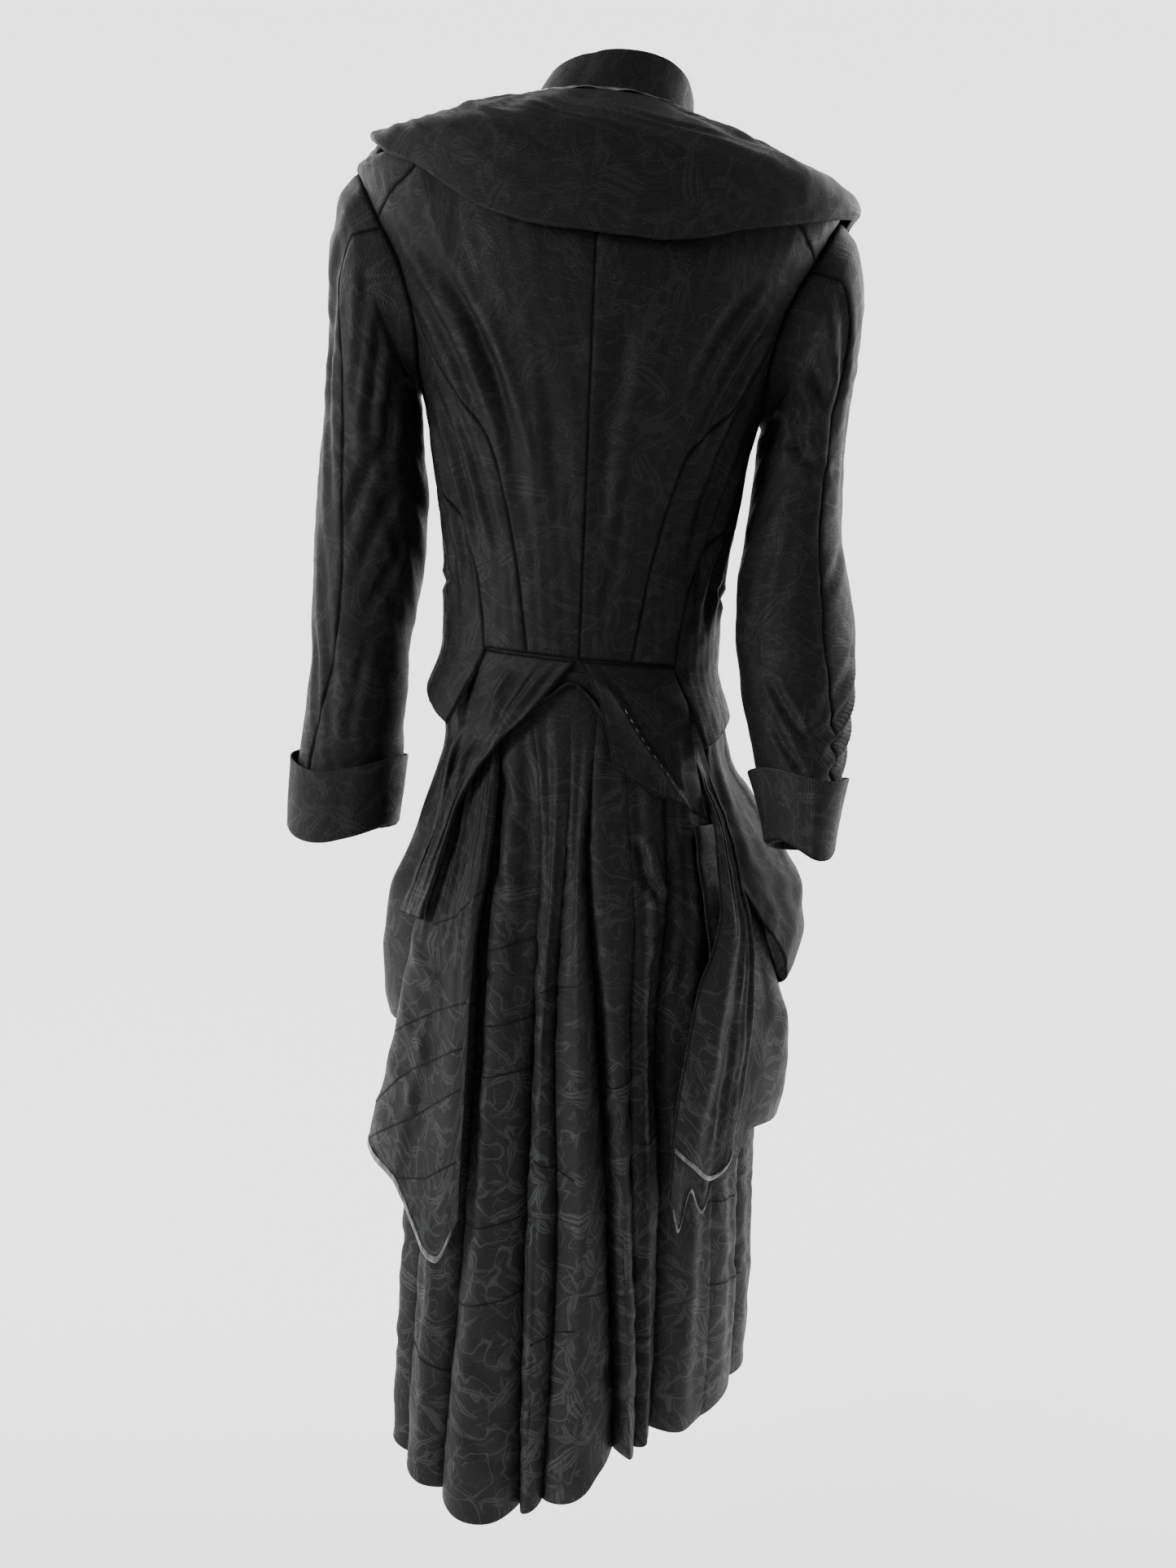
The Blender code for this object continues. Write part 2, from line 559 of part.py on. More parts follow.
def sleeve(tag, side, rows, finish):
    """Upper and under sleeve, seamed down the back and the front."""
    rings = np.arange(len(rows["y"]), dtype=float)
    columns = np.linspace(0, 1, 10)
    front = np.full(len(rings), ARM_FRONT_SEAM)
    back = through(rings, ELBOW_SEAM["ring"], ELBOW_SEAM["turn"])
    sleeve_piece(f"sleeve_upper_{tag}", side, rows, between(front, back, columns), finish)
    sleeve_piece(f"sleeve_under_{tag}", side, rows, between(back, front + 360, columns), finish)


def cuff(tag, side, rows, finish):
    """Turned-back cuff: its top edge stands off the sleeve, and both edges dip behind the wrist."""
    turn = np.arange(ARMHOLE_STEPS) * 360.0 / ARMHOLE_STEPS
    behind = np.clip(np.cos(np.radians(turn - 68)), 0, 1) ** 2
    last = len(rows["y"]) - 1.0
    top = last - 2.10 + 0.30 * behind
    bottom = last - 0.12 + 0.12 * behind
    down = np.array([0, 0.12, 0.5, 1.0])[:, None]
    stand_off = np.array([0.0072, 0.0062, 0.0040, 0.0026])[:, None]
    ring = top + (bottom - top) * down
    along = unit(sleeve_point(side, rows, last, turn, 0.0) - sleeve_point(side, rows, last - 1, turn, 0.0))
    point_down = 0.016 * along * (behind * down ** 4)[..., None]
    outer = sleeve_point(side, rows, ring, turn, stand_off) + point_down
    inner = sleeve_point(side, rows, ring, turn, stand_off - CLOTH) + point_down
    wall(f"cuff_{tag}", outer, inner, finish, closed=True)


def stand_point(angle, share):
    """Point on the collar stand's outer face: share 0 at the neckline, 1 at its top edge."""
    low = on_bodice(angle, neckline(angle)) + [0, 0, 2 * SEAM]
    top_z = through(angle, STAND["angle"], STAND["top"])
    size = 1 - (1 - STAND_TAPER) * share
    x = low[..., 0] * size + STAND_SHIFT * share
    y = low[..., 1] * size
    return np.stack([x, y, low[..., 2] + (top_z - low[..., 2]) * share], -1)


def collar_stand(finish):
    angle = np.linspace(-STAND_END, STAND_END, 25)[None, :]
    share = np.array([0, 0.33, 0.67, 1.0])[:, None]
    outer = stand_point(angle, share)
    normal = unit(outer * [1, 1, 0] - [STAND_SHIFT / 2, 0, 0])
    wall("collar_stand", outer, outer - normal * CLOTH, finish)


def collar_grid():
    """Rows of the collar from its neck edge, over the shoulders, to its soft outer fold and back under it."""
    ahead = np.linspace(STAND_END, COLLAR_END, 6)[1:]
    angle = np.concatenate([-ahead[::-1], np.linspace(-STAND_END, STAND_END, 25), ahead])
    lap = front_lap(angle)[:, None]
    seat = through(angle, STAND["angle"], STAND["seat"])
    on_stand = stand_point(np.clip(angle, -STAND_END, STAND_END), seat)
    sideways = unit(on_stand * [1, 1, 0])
    neck_level = neckline(angle) - 0.012
    forward = smooth(np.abs(angle), STAND_END - 32, STAND_END - 2)[:, None]
    on_front = on_bodice(angle, neck_level)
    off_front = bodice_normals(angle, neck_level) * (CLOTH + 0.0016 + lap)
    neck = (on_stand + sideways * (CLOTH + 0.0002)) * (1 - forward) + (on_front + off_front) * forward
    edge_level = through(angle, COLLAR_EDGE["angle"], COLLAR_EDGE["level"])
    edge_out = through(angle, COLLAR_EDGE["angle"], COLLAR_EDGE["out"])[:, None] + lap
    edge_normal = bodice_normals(angle, edge_level)
    edge = on_bodice(angle, edge_level) + edge_normal * edge_out
    share = np.array([0, 0.12, 0.30, 0.50, 0.68, 0.84, 1.0])[:, None, None]
    lift = through(np.abs(angle), [0, 45, 80, 180], [0.012, 0.006, 0.003, 0.005])[:, None]
    level = neck_level + (edge_level - neck_level) * share[..., 0]
    out = (CLOTH + 0.0016 + lap) * (1 - share) + edge_out * share + lift * 4 * share * (1 - share)
    at_tip = np.exp(-(((level + 0.033) / 0.022) ** 2)) * smooth(np.abs(angle), 60, 92) * smooth(share[..., 0], 0, 0.2)
    out = out + 0.005 * at_tip[..., None]
    laid = on_bodice(angle, level) + bodice_normals(angle, level) * out
    body = laid + (neck - laid[0]) * (1 - share) ** 1.5
    outward = unit(body[-1] - body[-2])
    below = unit(np.cross(np.gradient(edge, axis=0), outward))
    below = below * -np.sign(np.einsum("ij,ij->i", below, edge_normal))[:, None]
    nose = edge + (outward + below) * COLLAR_FOLD / 2
    turned = edge + below * COLLAR_FOLD - outward * COLLAR_RETURN
    return np.concatenate([body, nose[None], turned[None]])


def collar(cloth, satin):
    """The cape collar, and the satin that binds its neck edge."""
    outer = collar_grid()
    normal = mitred_normals(outer)
    if np.einsum("jk,jk->", normal[3], outer[3]) < 0:
        normal = -normal
    wall("collar", outer, outer - normal * CLOTH, cloth)
    strip, strip_normal = outer[:2, 8:-8].copy(), unit(normal[:2, 8:-8])
    strip[1] = strip[0] + 0.006 * unit(strip[1] - strip[0])
    lowest = strip + strip_normal * 0.0008
    wall("collar_binding", lowest + strip_normal * BINDING, lowest, satin)


def skirt(name, grooves, shares, finish):
    """Part of the skirt between its first and last grooves; each fold rounds out between two of them."""
    folds = len(grooves["depth"]) - 1
    number = np.concatenate([i + shares for i in range(folds)] + [[folds]])
    first = np.minimum(number.astype(int), folds - 1)
    part = number - first
    lines = np.array([grooves[name] for name in ("waist", "hip", "thigh", "knee", "hem")])
    hem_angle = lines[-1][first] * (1 - part) + lines[-1][first + 1] * part
    hem_level = through(hem_angle, HEM["angle"], HEM["level"])
    level = SKIRT_TOP + (hem_level - SKIRT_TOP) * SKIRT_ROWS[:, None]
    columns = range(len(number))
    start = np.stack([through(level[:, c], GROOVE_LEVELS, lines[:, first[c]]) for c in columns], 1)
    end = np.stack([through(level[:, c], GROOVE_LEVELS, lines[:, first[c] + 1]) for c in columns], 1)
    angle = start * (1 - part) + end * part
    depth = grooves["depth"][first] * (1 - part) + grooves["depth"][first + 1] * part
    fullness = np.sin(np.pi * part) ** 0.75
    grown = smooth(-level, 0.43, 0.80)
    out = grown * (grooves["crest"][first] * fullness - depth * (1 - fullness))
    hung(name, angle, level, out + front_lap(angle), finish)


def hanging(edges, hang, rows, columns):
    """Shares and positions over a piece whose edges run down it and whose top and bottom run across it."""
    down = np.linspace(0, 1, rows)[:, None] * np.ones((1, columns))
    across = np.linspace(0, 1, columns)[None, :] * np.ones((rows, 1))
    start = through(down, edges["down"], edges["start"])
    end = through(down, edges["down"], edges["end"])
    top = through(across, hang["across"], hang["top"])
    bottom = through(across, hang["across"], hang["bottom"])
    return down, across, start + (end - start) * across, top + (bottom - top) * down


UNDER_WAIST = -0.4225  # level of pieces that butt the waist seam
INSIDE_SWAG = -0.432  # level of the facing's top edge, under the swags
INSIDE_FLAP = -0.446  # level of pieces whose top edge hides under the side flaps


def centre_facing(finish):
    """The flat piece between the swags, its lower edge rolled into a peak."""
    edges = table("down start end", (0, 20.0, -8.5), (1, 20.5, -8.5))
    hang = table(
        "across top bottom",
        (0, INSIDE_SWAG, -0.469),
        (0.30, INSIDE_SWAG, -0.456),
        (0.62, INSIDE_SWAG, -0.443),
        (1, INSIDE_SWAG, -0.471),
    )
    down, _, angle, level = hanging(edges, hang, 4, 9)
    hung("centre_facing", angle, level, 0.0026 + 0.003 * smooth(down, 0.6, 1.0), finish)


def swag_left(finish):
    """From the waist seam beside centre back, falling across to the left and narrowing into one fold."""
    edges = table(
        "down start end",
        (0.0, 1.5, 40.0),
        (0.12, 12.5, 47.0),
        (0.22, 22.0, 55.0),
        (0.32, 33.0, 59.0),
        (0.44, 43.0, 63.0),
        (0.60, 51.0, 65.0),
        (0.80, 55.0, 70.0),
        (1.0, 57.0, 75.0),
    )
    hang = table("across top bottom", (0, UNDER_WAIST, -0.662), (1, UNDER_WAIST, -0.668))
    down, across, angle, level = hanging(edges, hang, 12, 12)
    ripple = 0.0028 * np.sin(2 * np.pi * (2.2 * across + 0.15)) * smooth(down, 0.02, 0.3) * (1 - 0.7 * smooth(down, 0.5, 1))
    out = through(down, [0, 0.08, 0.4, 0.8, 1], [0.0022, 0.0095, 0.0150, 0.0215, 0.0240]) + ripple
    tucked = through(-level, [-UNDER_WAIST, 0.440, 0.458, 0.475, 0.490], [0.0022, 0.0046, 0.0064, 0.0085, 0.0100])
    out = out + (tucked - out) * smooth(angle, 33, 41) * (1 - smooth(-level, 0.485, 0.52))
    hung("swag_left", angle, level, out, finish)


def swag_right(finish):
    """The pointed flap on the right of centre back, folded along a ridge."""
    edges = table("down start end", (0, -0.5, -41.0), (0.1, -4.0, -43.0), (0.42, -7.5, -46.0), (1, -11.2, -50.0))
    hang = table(
        "across top bottom",
        (0, UNDER_WAIST, -0.508),
        (0.35, UNDER_WAIST, -0.526),
        (0.75, UNDER_WAIST, -0.541),
        (1, UNDER_WAIST, -0.554),
    )
    down, across, angle, level = hanging(edges, hang, 9, 11)
    ridge_at = through(down, [0, 0.5, 1], [0.06, 0.25, 0.70])
    ridge = np.exp(-(((across - ridge_at) / 0.10) ** 2))
    out = 0.0030 + 0.0085 * smooth(down, 0, 0.30) + 0.0035 * ridge * smooth(down, 0.02, 0.3)
    hung("swag_right", angle, level, out, finish)


def drape_back_left(finish):
    """The pieced panel on the left, which ends in a bound zigzag hem."""
    edges = table(
        "down start end", (0, 37.5, 60.0), (0.3, 37.0, 65.5), (0.65, 36.0, 73.0), (0.88, 36.0, 81.0), (1, 35.5, 86.0)
    )
    hang = table(
        "across top bottom",
        (0, -0.500, -0.918),
        (0.14, -0.500, -0.962),
        (0.48, -0.500, -0.918),
        (0.56, -0.500, -0.906),
        (1, -0.500, -0.888),
    )
    down, across, angle, level = hanging(edges, hang, 12, 11)
    reach = through(down, [0, 0.35, 0.75, 1], [0.0058, 0.0130, 0.0190, 0.0330])
    near = through(down, [0, 0.35, 0.75, 1], [0.0050, 0.0078, 0.0090, 0.0120])
    wave = 0.003 * np.sin(2 * np.pi * (1.4 * across + 0.1)) * smooth(down, 0.1, 0.6)
    hung("drape_back_left", angle, level, near + (reach - near) * across**1.2 + wave, finish)


def drape_side_left(finish):
    """The full layer over the left hip, gathered in at the waist and curving under at its lower edge."""
    edges = table("down start end", (0, 52.0, 150.0), (0.5, 50.0, 152.0), (1, 50.0, 150.0))
    hang = table(
        "across top bottom",
        (0, INSIDE_FLAP, -0.730),
        (0.25, INSIDE_FLAP, -0.770),
        (0.45, INSIDE_FLAP, -0.776),
        (0.75, INSIDE_FLAP, -0.700),
        (1, INSIDE_FLAP, -0.600),
    )
    _, _, angle, level = hanging(edges, hang, 10, 12)
    full = through(
        level, [-0.78, -0.745, -0.70, -0.63, -0.57, -0.50, INSIDE_FLAP], [0.55, 0.85, 1.0, 0.85, 0.5, 0.08, 0.0]
    )
    spread = smooth(angle, 64, 94) * (1 - 0.6 * smooth(angle, 115, 150))
    hung("drape_side_left", angle, level, 0.0032 + 0.031 * full * spread, finish)


def cascade_right(finish):
    """A long narrow fall on the right that widens into a rounded, bound point."""
    edges = table(
        "down start end",
        (0.0, -43.5, -55.0),
        (0.10, -47.0, -56.5),
        (0.25, -50.0, -58.0),
        (0.45, -46.5, -59.0),
        (0.55, -40.0, -58.0),
        (0.63, -34.0, -57.0),
        (0.75, -30.0, -54.5),
        (0.88, -27.0, -50.5),
        (1.0, -25.0, -47.0),
    )
    hang = table(
        "across top bottom",
        (0, INSIDE_FLAP, -0.850),
        (0.25, INSIDE_FLAP, -0.868),
        (0.60, INSIDE_FLAP, -0.888),
        (0.85, INSIDE_FLAP, -0.880),
        (1, INSIDE_FLAP, -0.862),
    )
    down, across, angle, level = hanging(edges, hang, 14, 9)
    out = through(down, [0, 0.09, 0.16, 0.3, 0.6, 1], [0.0022, 0.0028, 0.0100, 0.0190, 0.0170, 0.0130])
    ridge = 0.004 * np.sin(np.pi * across) ** 2 + 0.0025 * np.sin(2 * np.pi * (1.5 * across - 0.1))
    hung("cascade_right", angle, level, out + ridge * smooth(down, 0.12, 0.35), finish)


def tail_right(finish):
    """The layer that peeps out under the cascade, cut into two small points."""
    edges = table("down start end", (0, -26.0, -46.0), (1, -26.5, -42.0))
    hang = table(
        "across top bottom",
        (0, -0.815, -0.905),
        (0.18, -0.815, -0.938),
        (0.42, -0.815, -0.900),
        (0.70, -0.815, -0.925),
        (1, -0.815, -0.895),
    )
    down, _, angle, level = hanging(edges, hang, 5, 9)
    hung("tail_right", angle, level, 0.0088 - 0.004 * smooth(down, 0.3, 1), finish)


def drape_side_right(finish):
    """The puffed upper layer over the right hip."""
    edges = table("down start end", (0, -60.0, -150.0), (0.5, -61.0, -152.0), (1, -62.0, -150.0))
    hang = table(
        "across top bottom",
        (0, INSIDE_FLAP, -0.600),
        (0.15, INSIDE_FLAP, -0.675),
        (0.35, INSIDE_FLAP, -0.735),
        (0.7, INSIDE_FLAP, -0.710),
        (1, INSIDE_FLAP, -0.600),
    )
    _, _, angle, level = hanging(edges, hang, 10, 12)
    full = through(
        level, [-0.74, -0.71, -0.67, -0.62, -0.57, -0.50, INSIDE_FLAP], [0.25, 0.62, 0.92, 1.0, 0.70, 0.12, 0.0]
    )
    spread = smooth(-angle, 62, 96) * (1 - 0.6 * smooth(-angle, 115, 150))
    out = 0.0032 + 0.046 * full * spread + 0.006 * smooth(-level, 0.5, 0.6)
    hung("drape_side_right", angle, level, out, finish)


def drape_lower_right(finish):
    """The lower layer on the right, from under the cascade round the hip, with a curved hem."""
    edges = table("down start end", (0, -47.0, -140.0), (0.5, -42.0, -140.0), (1, -40.0, -138.0))
    hang = table(
        "across top bottom",
        (0, -0.560, -0.893),
        (0.10, -0.560, -0.902),
        (0.22, -0.560, -0.862),
        (0.50, -0.560, -0.872),
        (0.80, -0.560, -0.790),
        (1, -0.560, -0.700),
    )
    _, _, angle, level = hanging(edges, hang, 10, 13)
    full = through(level, [-0.90, -0.86, -0.80, -0.74, -0.68, -0.60, -0.56], [0.3, 0.7, 1.0, 0.75, 0.25, 0.05, 0.0])
    spread = smooth(-angle, 50, 88) * (1 - 0.5 * smooth(-angle, 110, 140))
    hung("drape_lower_right", angle, level, 0.0030 + 0.024 * full * spread, finish)


def button(number, level, finish):
    """A plain round button with a low rounded rim, on the right front."""
    centre = on_bodice(np.array([-180.0]), np.array([level]))[0]
    normal = bodice_normals(np.array([-180.0]), np.array([level]))[0]
    base = centre + normal * (FRONT_LAP + 0.0006)
    side = unit(np.cross(normal, [0, 0, 1]))
    up = np.cross(side, normal)
    turn = np.radians(np.arange(0, 360, 30))[:, None]
    around = BUTTON_RADIUS * (side * np.cos(turn) + up * np.sin(turn))
    profile = [(0.92, 0.0), (1.0, 0.4), (0.86, 1.0), (0.62, 0.82)]
    rings = [base + around * radius + normal * BUTTON_THICK * height for radius, height in profile]
    steps = len(turn)
    under, over = steps * len(rings), steps * len(rings) + 1
    points = np.concatenate(rings + [base[None], (base + normal * BUTTON_THICK * 0.8)[None]])
    faces = []
    for i in range(steps):
        j = (i + 1) % steps
        for low in range(0, under - steps, steps):
            faces += [(low + i, low + j, low + steps + j), (low + i, low + steps + j, low + steps + i)]
        faces += [(under, j, i), (over, under - steps + i, under - steps + j)]
    solid(f"button_{number}", points, faces, finish)


def main():
    for item in list(bpy.data.objects):
        bpy.data.objects.remove(item)
    cloth = material("figured_cloth", BLACK, 0.6)
    satin = material("satin", SATIN_GREY, 0.35)
    horn = material("horn", HORN, 0.3)
    for tag, side, sleeve_rows in (("left", 1, LEFT_SLEEVE), ("right", -1, RIGHT_SLEEVE)):
        for bodice_piece in (back_panel, side_back_panel, side_panel, front_panel, yoke):
            bodice_piece(tag, side, cloth)
        sleeve(tag, side, sleeve_rows, cloth)
        cuff(tag, side, sleeve_rows, cloth)
    collar_stand(cloth)
    collar(cloth, satin)
    for number, level in enumerate(BUTTON_LEVELS, 1):
        button(number, level, horn)
    skirt("skirt_back", BACK_GROOVES, NARROW_FOLD, cloth)
    skirt("skirt_left", LEFT_GROOVES, BROAD_FOLD, cloth)
    skirt("skirt_right", RIGHT_GROOVES, BROAD_FOLD, cloth)
    for back_piece in (centre_facing, swag_left, swag_right, drape_back_left, cascade_right, tail_right):
        back_piece(cloth)
    for side_piece in (drape_side_left, drape_side_right, drape_lower_right):
        side_piece(cloth)


main()
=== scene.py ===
"""The looks of a long fitted black coat: every piece of cloth as a fine shell on its solid's form, with its
creases, seams, bindings and woven leaves.

Metres, +Z up, +Y the wearer's back, +X the wearer's left. Angles go round the wearer in degrees: 0 at centre
back, 90 at the wearer's left, 180 at centre front. The sizes and tables of the forms are the solids' own.
"""

import bpy
import numpy as np
from mathutils import Matrix, Vector


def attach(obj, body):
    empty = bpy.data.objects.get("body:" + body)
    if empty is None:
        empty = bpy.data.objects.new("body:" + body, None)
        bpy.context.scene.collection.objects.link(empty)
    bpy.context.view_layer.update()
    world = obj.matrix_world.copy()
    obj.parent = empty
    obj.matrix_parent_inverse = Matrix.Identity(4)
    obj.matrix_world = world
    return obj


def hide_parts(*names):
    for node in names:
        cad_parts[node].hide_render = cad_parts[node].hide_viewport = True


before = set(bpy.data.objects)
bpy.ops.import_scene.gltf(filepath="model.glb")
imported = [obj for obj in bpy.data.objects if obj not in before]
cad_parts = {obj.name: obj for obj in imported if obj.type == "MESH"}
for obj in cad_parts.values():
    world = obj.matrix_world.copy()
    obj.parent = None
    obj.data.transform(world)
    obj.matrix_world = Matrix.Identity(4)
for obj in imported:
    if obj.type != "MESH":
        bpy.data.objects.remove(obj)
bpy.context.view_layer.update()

# Driving sizes
SHELL = 0.0014  # thickness of the fine cloth
NECK = 0.10  # level of the neckline ring, counted on past the shoulder tips
WAIST = -0.420
SKIRT_TOP = -0.412
SHOULDER_RISE = 0.055
ARMHOLE_TOP = -0.037
ARMHOLE_HEIGHT = 0.172
ARMHOLE_BACK = 0.064
ARMHOLE_FRONT = 0.060
ARMHOLE_STEPS = 24
ARM_GAP = 0.0010
FRONT_EDGE = 186.0
FRONT_LAP = 0.0060
FRONT_NECK = -0.210
COLLAR_END = 168.0
STAND_END = 132.0
COLLAR_FOLD = 0.0060
COLLAR_REST = 0.0034  # from the bodice to the outer side of the collar that rests on it
STAND_CLEAR = 0.0020  # from the stand to the collar's neck edge
COLLAR_LAP = 0.012  # how far the collar's neck edge lies below the neckline in front
COLLAR_SATIN = 0.0088  # widths of the satin bindings
DRAPE_SATIN = 0.0055
CASCADE_SATIN = 0.0040
TAIL_SATIN = 0.0036
FLAT_SATIN = 0.0009  # how high a binding stands on the cloth: laid flat, and folded round an edge
FOLDED_SATIN = 0.0007
JOIN_WIDTH = 0.0016
JOIN_HEIGHT = 0.00045
BASTING_PITCH = 0.0095  # from one basting stitch to the next
BASTING_LENGTH = 0.0042
BASTING_THREAD = 0.00036  # radius
BUTTON_RADIUS = 0.011
BUTTON_THICK = 0.004
BUTTON_LEVELS = (-0.245, -0.300, -0.355, -0.405)
SEAM_REACH = 0.00022  # half of the gap between two solids at a seam, less a hair
ALLOWANCE = 0.0009  # the shell's inner side reaches this far under a seam
ALL_ROUND = "top bottom start end"  # the edges of a piece that is sewn all round
ROLL_WIDTH = 0.0014
ROLL = 0.0011  # how far the cloth rolls under at a seam or an edge
UNDER_ROW = 0.0008  # how far below a sleeve's inner side its tucked row lies
TUCK = 0.0038  # how far that row reaches in under the armhole's edge
FLAT_EDGE = 0.007  # beside a groove between skirt parts, the width where creases fade out
DEGREE = 0.0021  # metres round the body for a degree, used to place creases
SKIRT_DEGREE = 0.0024
COLLAR_DEGREE = 0.0022
COLLAR_DEPTH = 0.15  # metres from the collar's neck edge to its outer edge
SLEEVE_DEGREE = 0.0009
SLEEVE_RING = 0.044  # metres down the sleeve from one ring to the next
FLOOR = -1.47
CAMERA = (-0.012, 1.19, -0.31)
PITCH = 11.2  # degrees down
ROLLED = 2.5
LENS = 29.89  # millimetres, on a sensor 36 mm high


def table(columns, *rows):
    """Named columns from rows of numbers."""
    return dict(zip(columns.split(), np.array(rows, float).T))


# Level rings of the bodice. Below the waist they carry only the side panels' pointed skirts; past the
# shoulder tips, at level -0.037, they close in to the neck.
BODICE = table(
    "level half_width back front power back_z side_z front_z",
    (-0.520, 0.158, 0.127, 0.129, 2.00, -0.520, -0.520, -0.520),
    (-0.470, 0.141, 0.110, 0.112, 2.00, -0.470, -0.470, -0.470),
    (-0.420, 0.126, 0.093, 0.096, 2.00, -0.420, -0.420, -0.420),
    (-0.360, 0.126, 0.096, 0.104, 2.05, -0.360, -0.360, -0.360),
    (-0.300, 0.132, 0.104, 0.116, 2.15, -0.300, -0.300, -0.300),
    (-0.240, 0.141, 0.112, 0.125, 2.20, -0.240, -0.240, -0.240),
    (-0.180, 0.156, 0.118, 0.125, 2.25, -0.180, -0.180, -0.180),
    (-0.120, 0.179, 0.120, 0.118, 2.30, -0.120, -0.120, -0.120),
    (-0.075, 0.197, 0.117, 0.110, 2.35, -0.075, -0.075, -0.075),
    (-0.037, 0.205, 0.111, 0.103, 2.40, -0.037, -0.037, -0.037),
    (0.010, 0.168, 0.100, 0.096, 2.30, -0.019, -0.023, -0.024),
    (0.055, 0.122, 0.082, 0.085, 2.10, 0.001, -0.011, -0.010),
    (0.100, 0.078, 0.062, 0.070, 2.00, 0.020, 0.002, 0.002),
)

# Level rings of the skirt's fold crests. Skew carries the left side back and the right side forward.
SKIRT = table(
    "level middle half_width back front skew",
    (-1.230, -0.026, 0.180, 0.141, 0.150, 0.30),
    (-1.100, -0.026, 0.181, 0.138, 0.148, 0.24),
    (-0.950, -0.024, 0.176, 0.131, 0.142, 0.16),
    (-0.800, -0.022, 0.170, 0.124, 0.136, 0.08),
    (-0.680, -0.019, 0.158, 0.116, 0.126, 0.03),
    (-0.580, -0.014, 0.133, 0.106, 0.112, 0.00),
    (-0.500, -0.008, 0.1220, 0.0970, 0.1000, 0.00),
    (-0.455, -0.003, 0.1225, 0.0920, 0.0950, 0.00),
    (-0.430, 0.000, 0.1228, 0.0900, 0.0930, 0.00),
    (-0.412, 0.000, 0.1234, 0.0904, 0.0934, 0.00),
)

# Seams down the bodice: the angle of each at a few levels.
PRINCESS_SEAM = table(
    "level angle", (-0.42, 20.9), (-0.36, 24.6), (-0.30, 28.0), (-0.245, 34.5), (-0.19, 47.0)
)
SIDE_BACK_SEAM = table(
    "level angle", (-0.42, 41.0), (-0.36, 45.0), (-0.32, 54.0), (-0.285, 68.0), (-0.248, 74.0)
)
SIDE_FRONT_SEAM = table("level angle", (-0.42, 124.0), (-0.33, 120.0), (-0.248, 110.0))
BODY_LEVELS = np.array([-0.420, -0.390, -0.355, -0.320, -0.284, -0.248])  # rows that meet along those seams
PRINCESS_STEP, SIDE_STEP, FRONT_STEP, YOKE_STEP = 7, 10, 14, 4  # armhole steps where seams run into it
YOKE_START = 0.45  # share of the back's width, at the neck, where the yoke begins
YOKE_SEAM = table("share level", (0.45, 0.100), (0.60, -0.040), (0.80, -0.062), (1.00, -0.080))
YOKE_FRONT = 130.0  # angle of the yoke's front corner at the neck

NECKLINE = table(
    "angle level",
    (0, 0.10),
    (108, 0.10),
    (130, 0.085),
    (150, 0.04),
    (165, -0.05),
    (176, -0.14),
    (186, FRONT_NECK),
)

# Sleeves, ring by ring from the armhole: the outer and inner edges as (x, z), the half depth from front
# to back, the middle's y, and the nod that tips a ring to follow the elbow's bend.
LEFT_SLEEVE = table(
    "outer_x outer_z inner_x inner_z half_depth y nod",
    (0.2050, -0.026, 0.1490, -0.2010, 0.062, 0.000, 0.0),
    (0.2185, -0.041, 0.1510, -0.2045, 0.065, 0.000, 0.0),
    (0.2265, -0.074, 0.1500, -0.2080, 0.066, 0.000, 0.0),
    (0.2295, -0.112, 0.1490, -0.2140, 0.064, 0.000, 0.0),
    (0.2290, -0.152, 0.1480, -0.2230, 0.062, 0.000, 0.0),
    (0.2315, -0.198, 0.1470, -0.2380, 0.060, 0.000, 0.0),
    (0.2370, -0.248, 0.1450, -0.2630, 0.057, -0.004, 0.0),
    (0.2420, -0.295, 0.1430, -0.2980, 0.054, -0.008, 0.05),
    (0.2460, -0.345, 0.1450, -0.3450, 0.051, -0.015, 0.08),
    (0.2490, -0.392, 0.1530, -0.3920, 0.048, -0.022, 0.10),
    (0.2510, -0.438, 0.1605, -0.4380, 0.046, -0.029, 0.10),
    (0.2580, -0.488, 0.1640, -0.4880, 0.045, -0.035, 0.10),
    (0.2660, -0.538, 0.1680, -0.5380, 0.044, -0.041, 0.10),
    (0.2740, -0.586, 0.1720, -0.5860, 0.044, -0.046, 0.10),
    (0.2765, -0.604, 0.1730, -0.6040, 0.044, -0.048, 0.10),
)
RIGHT_SLEEVE = table(
    "outer_x outer_z inner_x inner_z half_depth y nod",
    (0.2050, -0.048, 0.1490, -0.2170, 0.062, 0.000, 0.0),
    (0.2190, -0.062, 0.1510, -0.2205, 0.065, 0.001, 0.0),
    (0.2280, -0.092, 0.1500, -0.2240, 0.066, 0.002, 0.0),
    (0.2310, -0.128, 0.1490, -0.2300, 0.064, 0.004, 0.0),
    (0.2280, -0.166, 0.1480, -0.2400, 0.062, 0.007, 0.05),
    (0.2235, -0.210, 0.1465, -0.2550, 0.060, 0.012, 0.10),
    (0.2215, -0.256, 0.1445, -0.2800, 0.057, 0.020, 0.15),
    (0.2225, -0.303, 0.1400, -0.3120, 0.054, 0.030, 0.20),
    (0.2285, -0.345, 0.1350, -0.3480, 0.051, 0.042, 0.25),
    (0.2365, -0.392, 0.1340, -0.3920, 0.048, 0.058, 0.30),
    (0.2355, -0.434, 0.1385, -0.4340, 0.046, 0.075, 0.32),
    (0.2310, -0.474, 0.1470, -0.4740, 0.044, 0.091, 0.34),
    (0.2250, -0.512, 0.1555, -0.5120, 0.043, 0.105, 0.34),
    (0.2200, -0.549, 0.1635, -0.5490, 0.043, 0.118, 0.34),
    (0.2185, -0.566, 0.1660, -0.5660, 0.043, 0.124, 0.34),
)
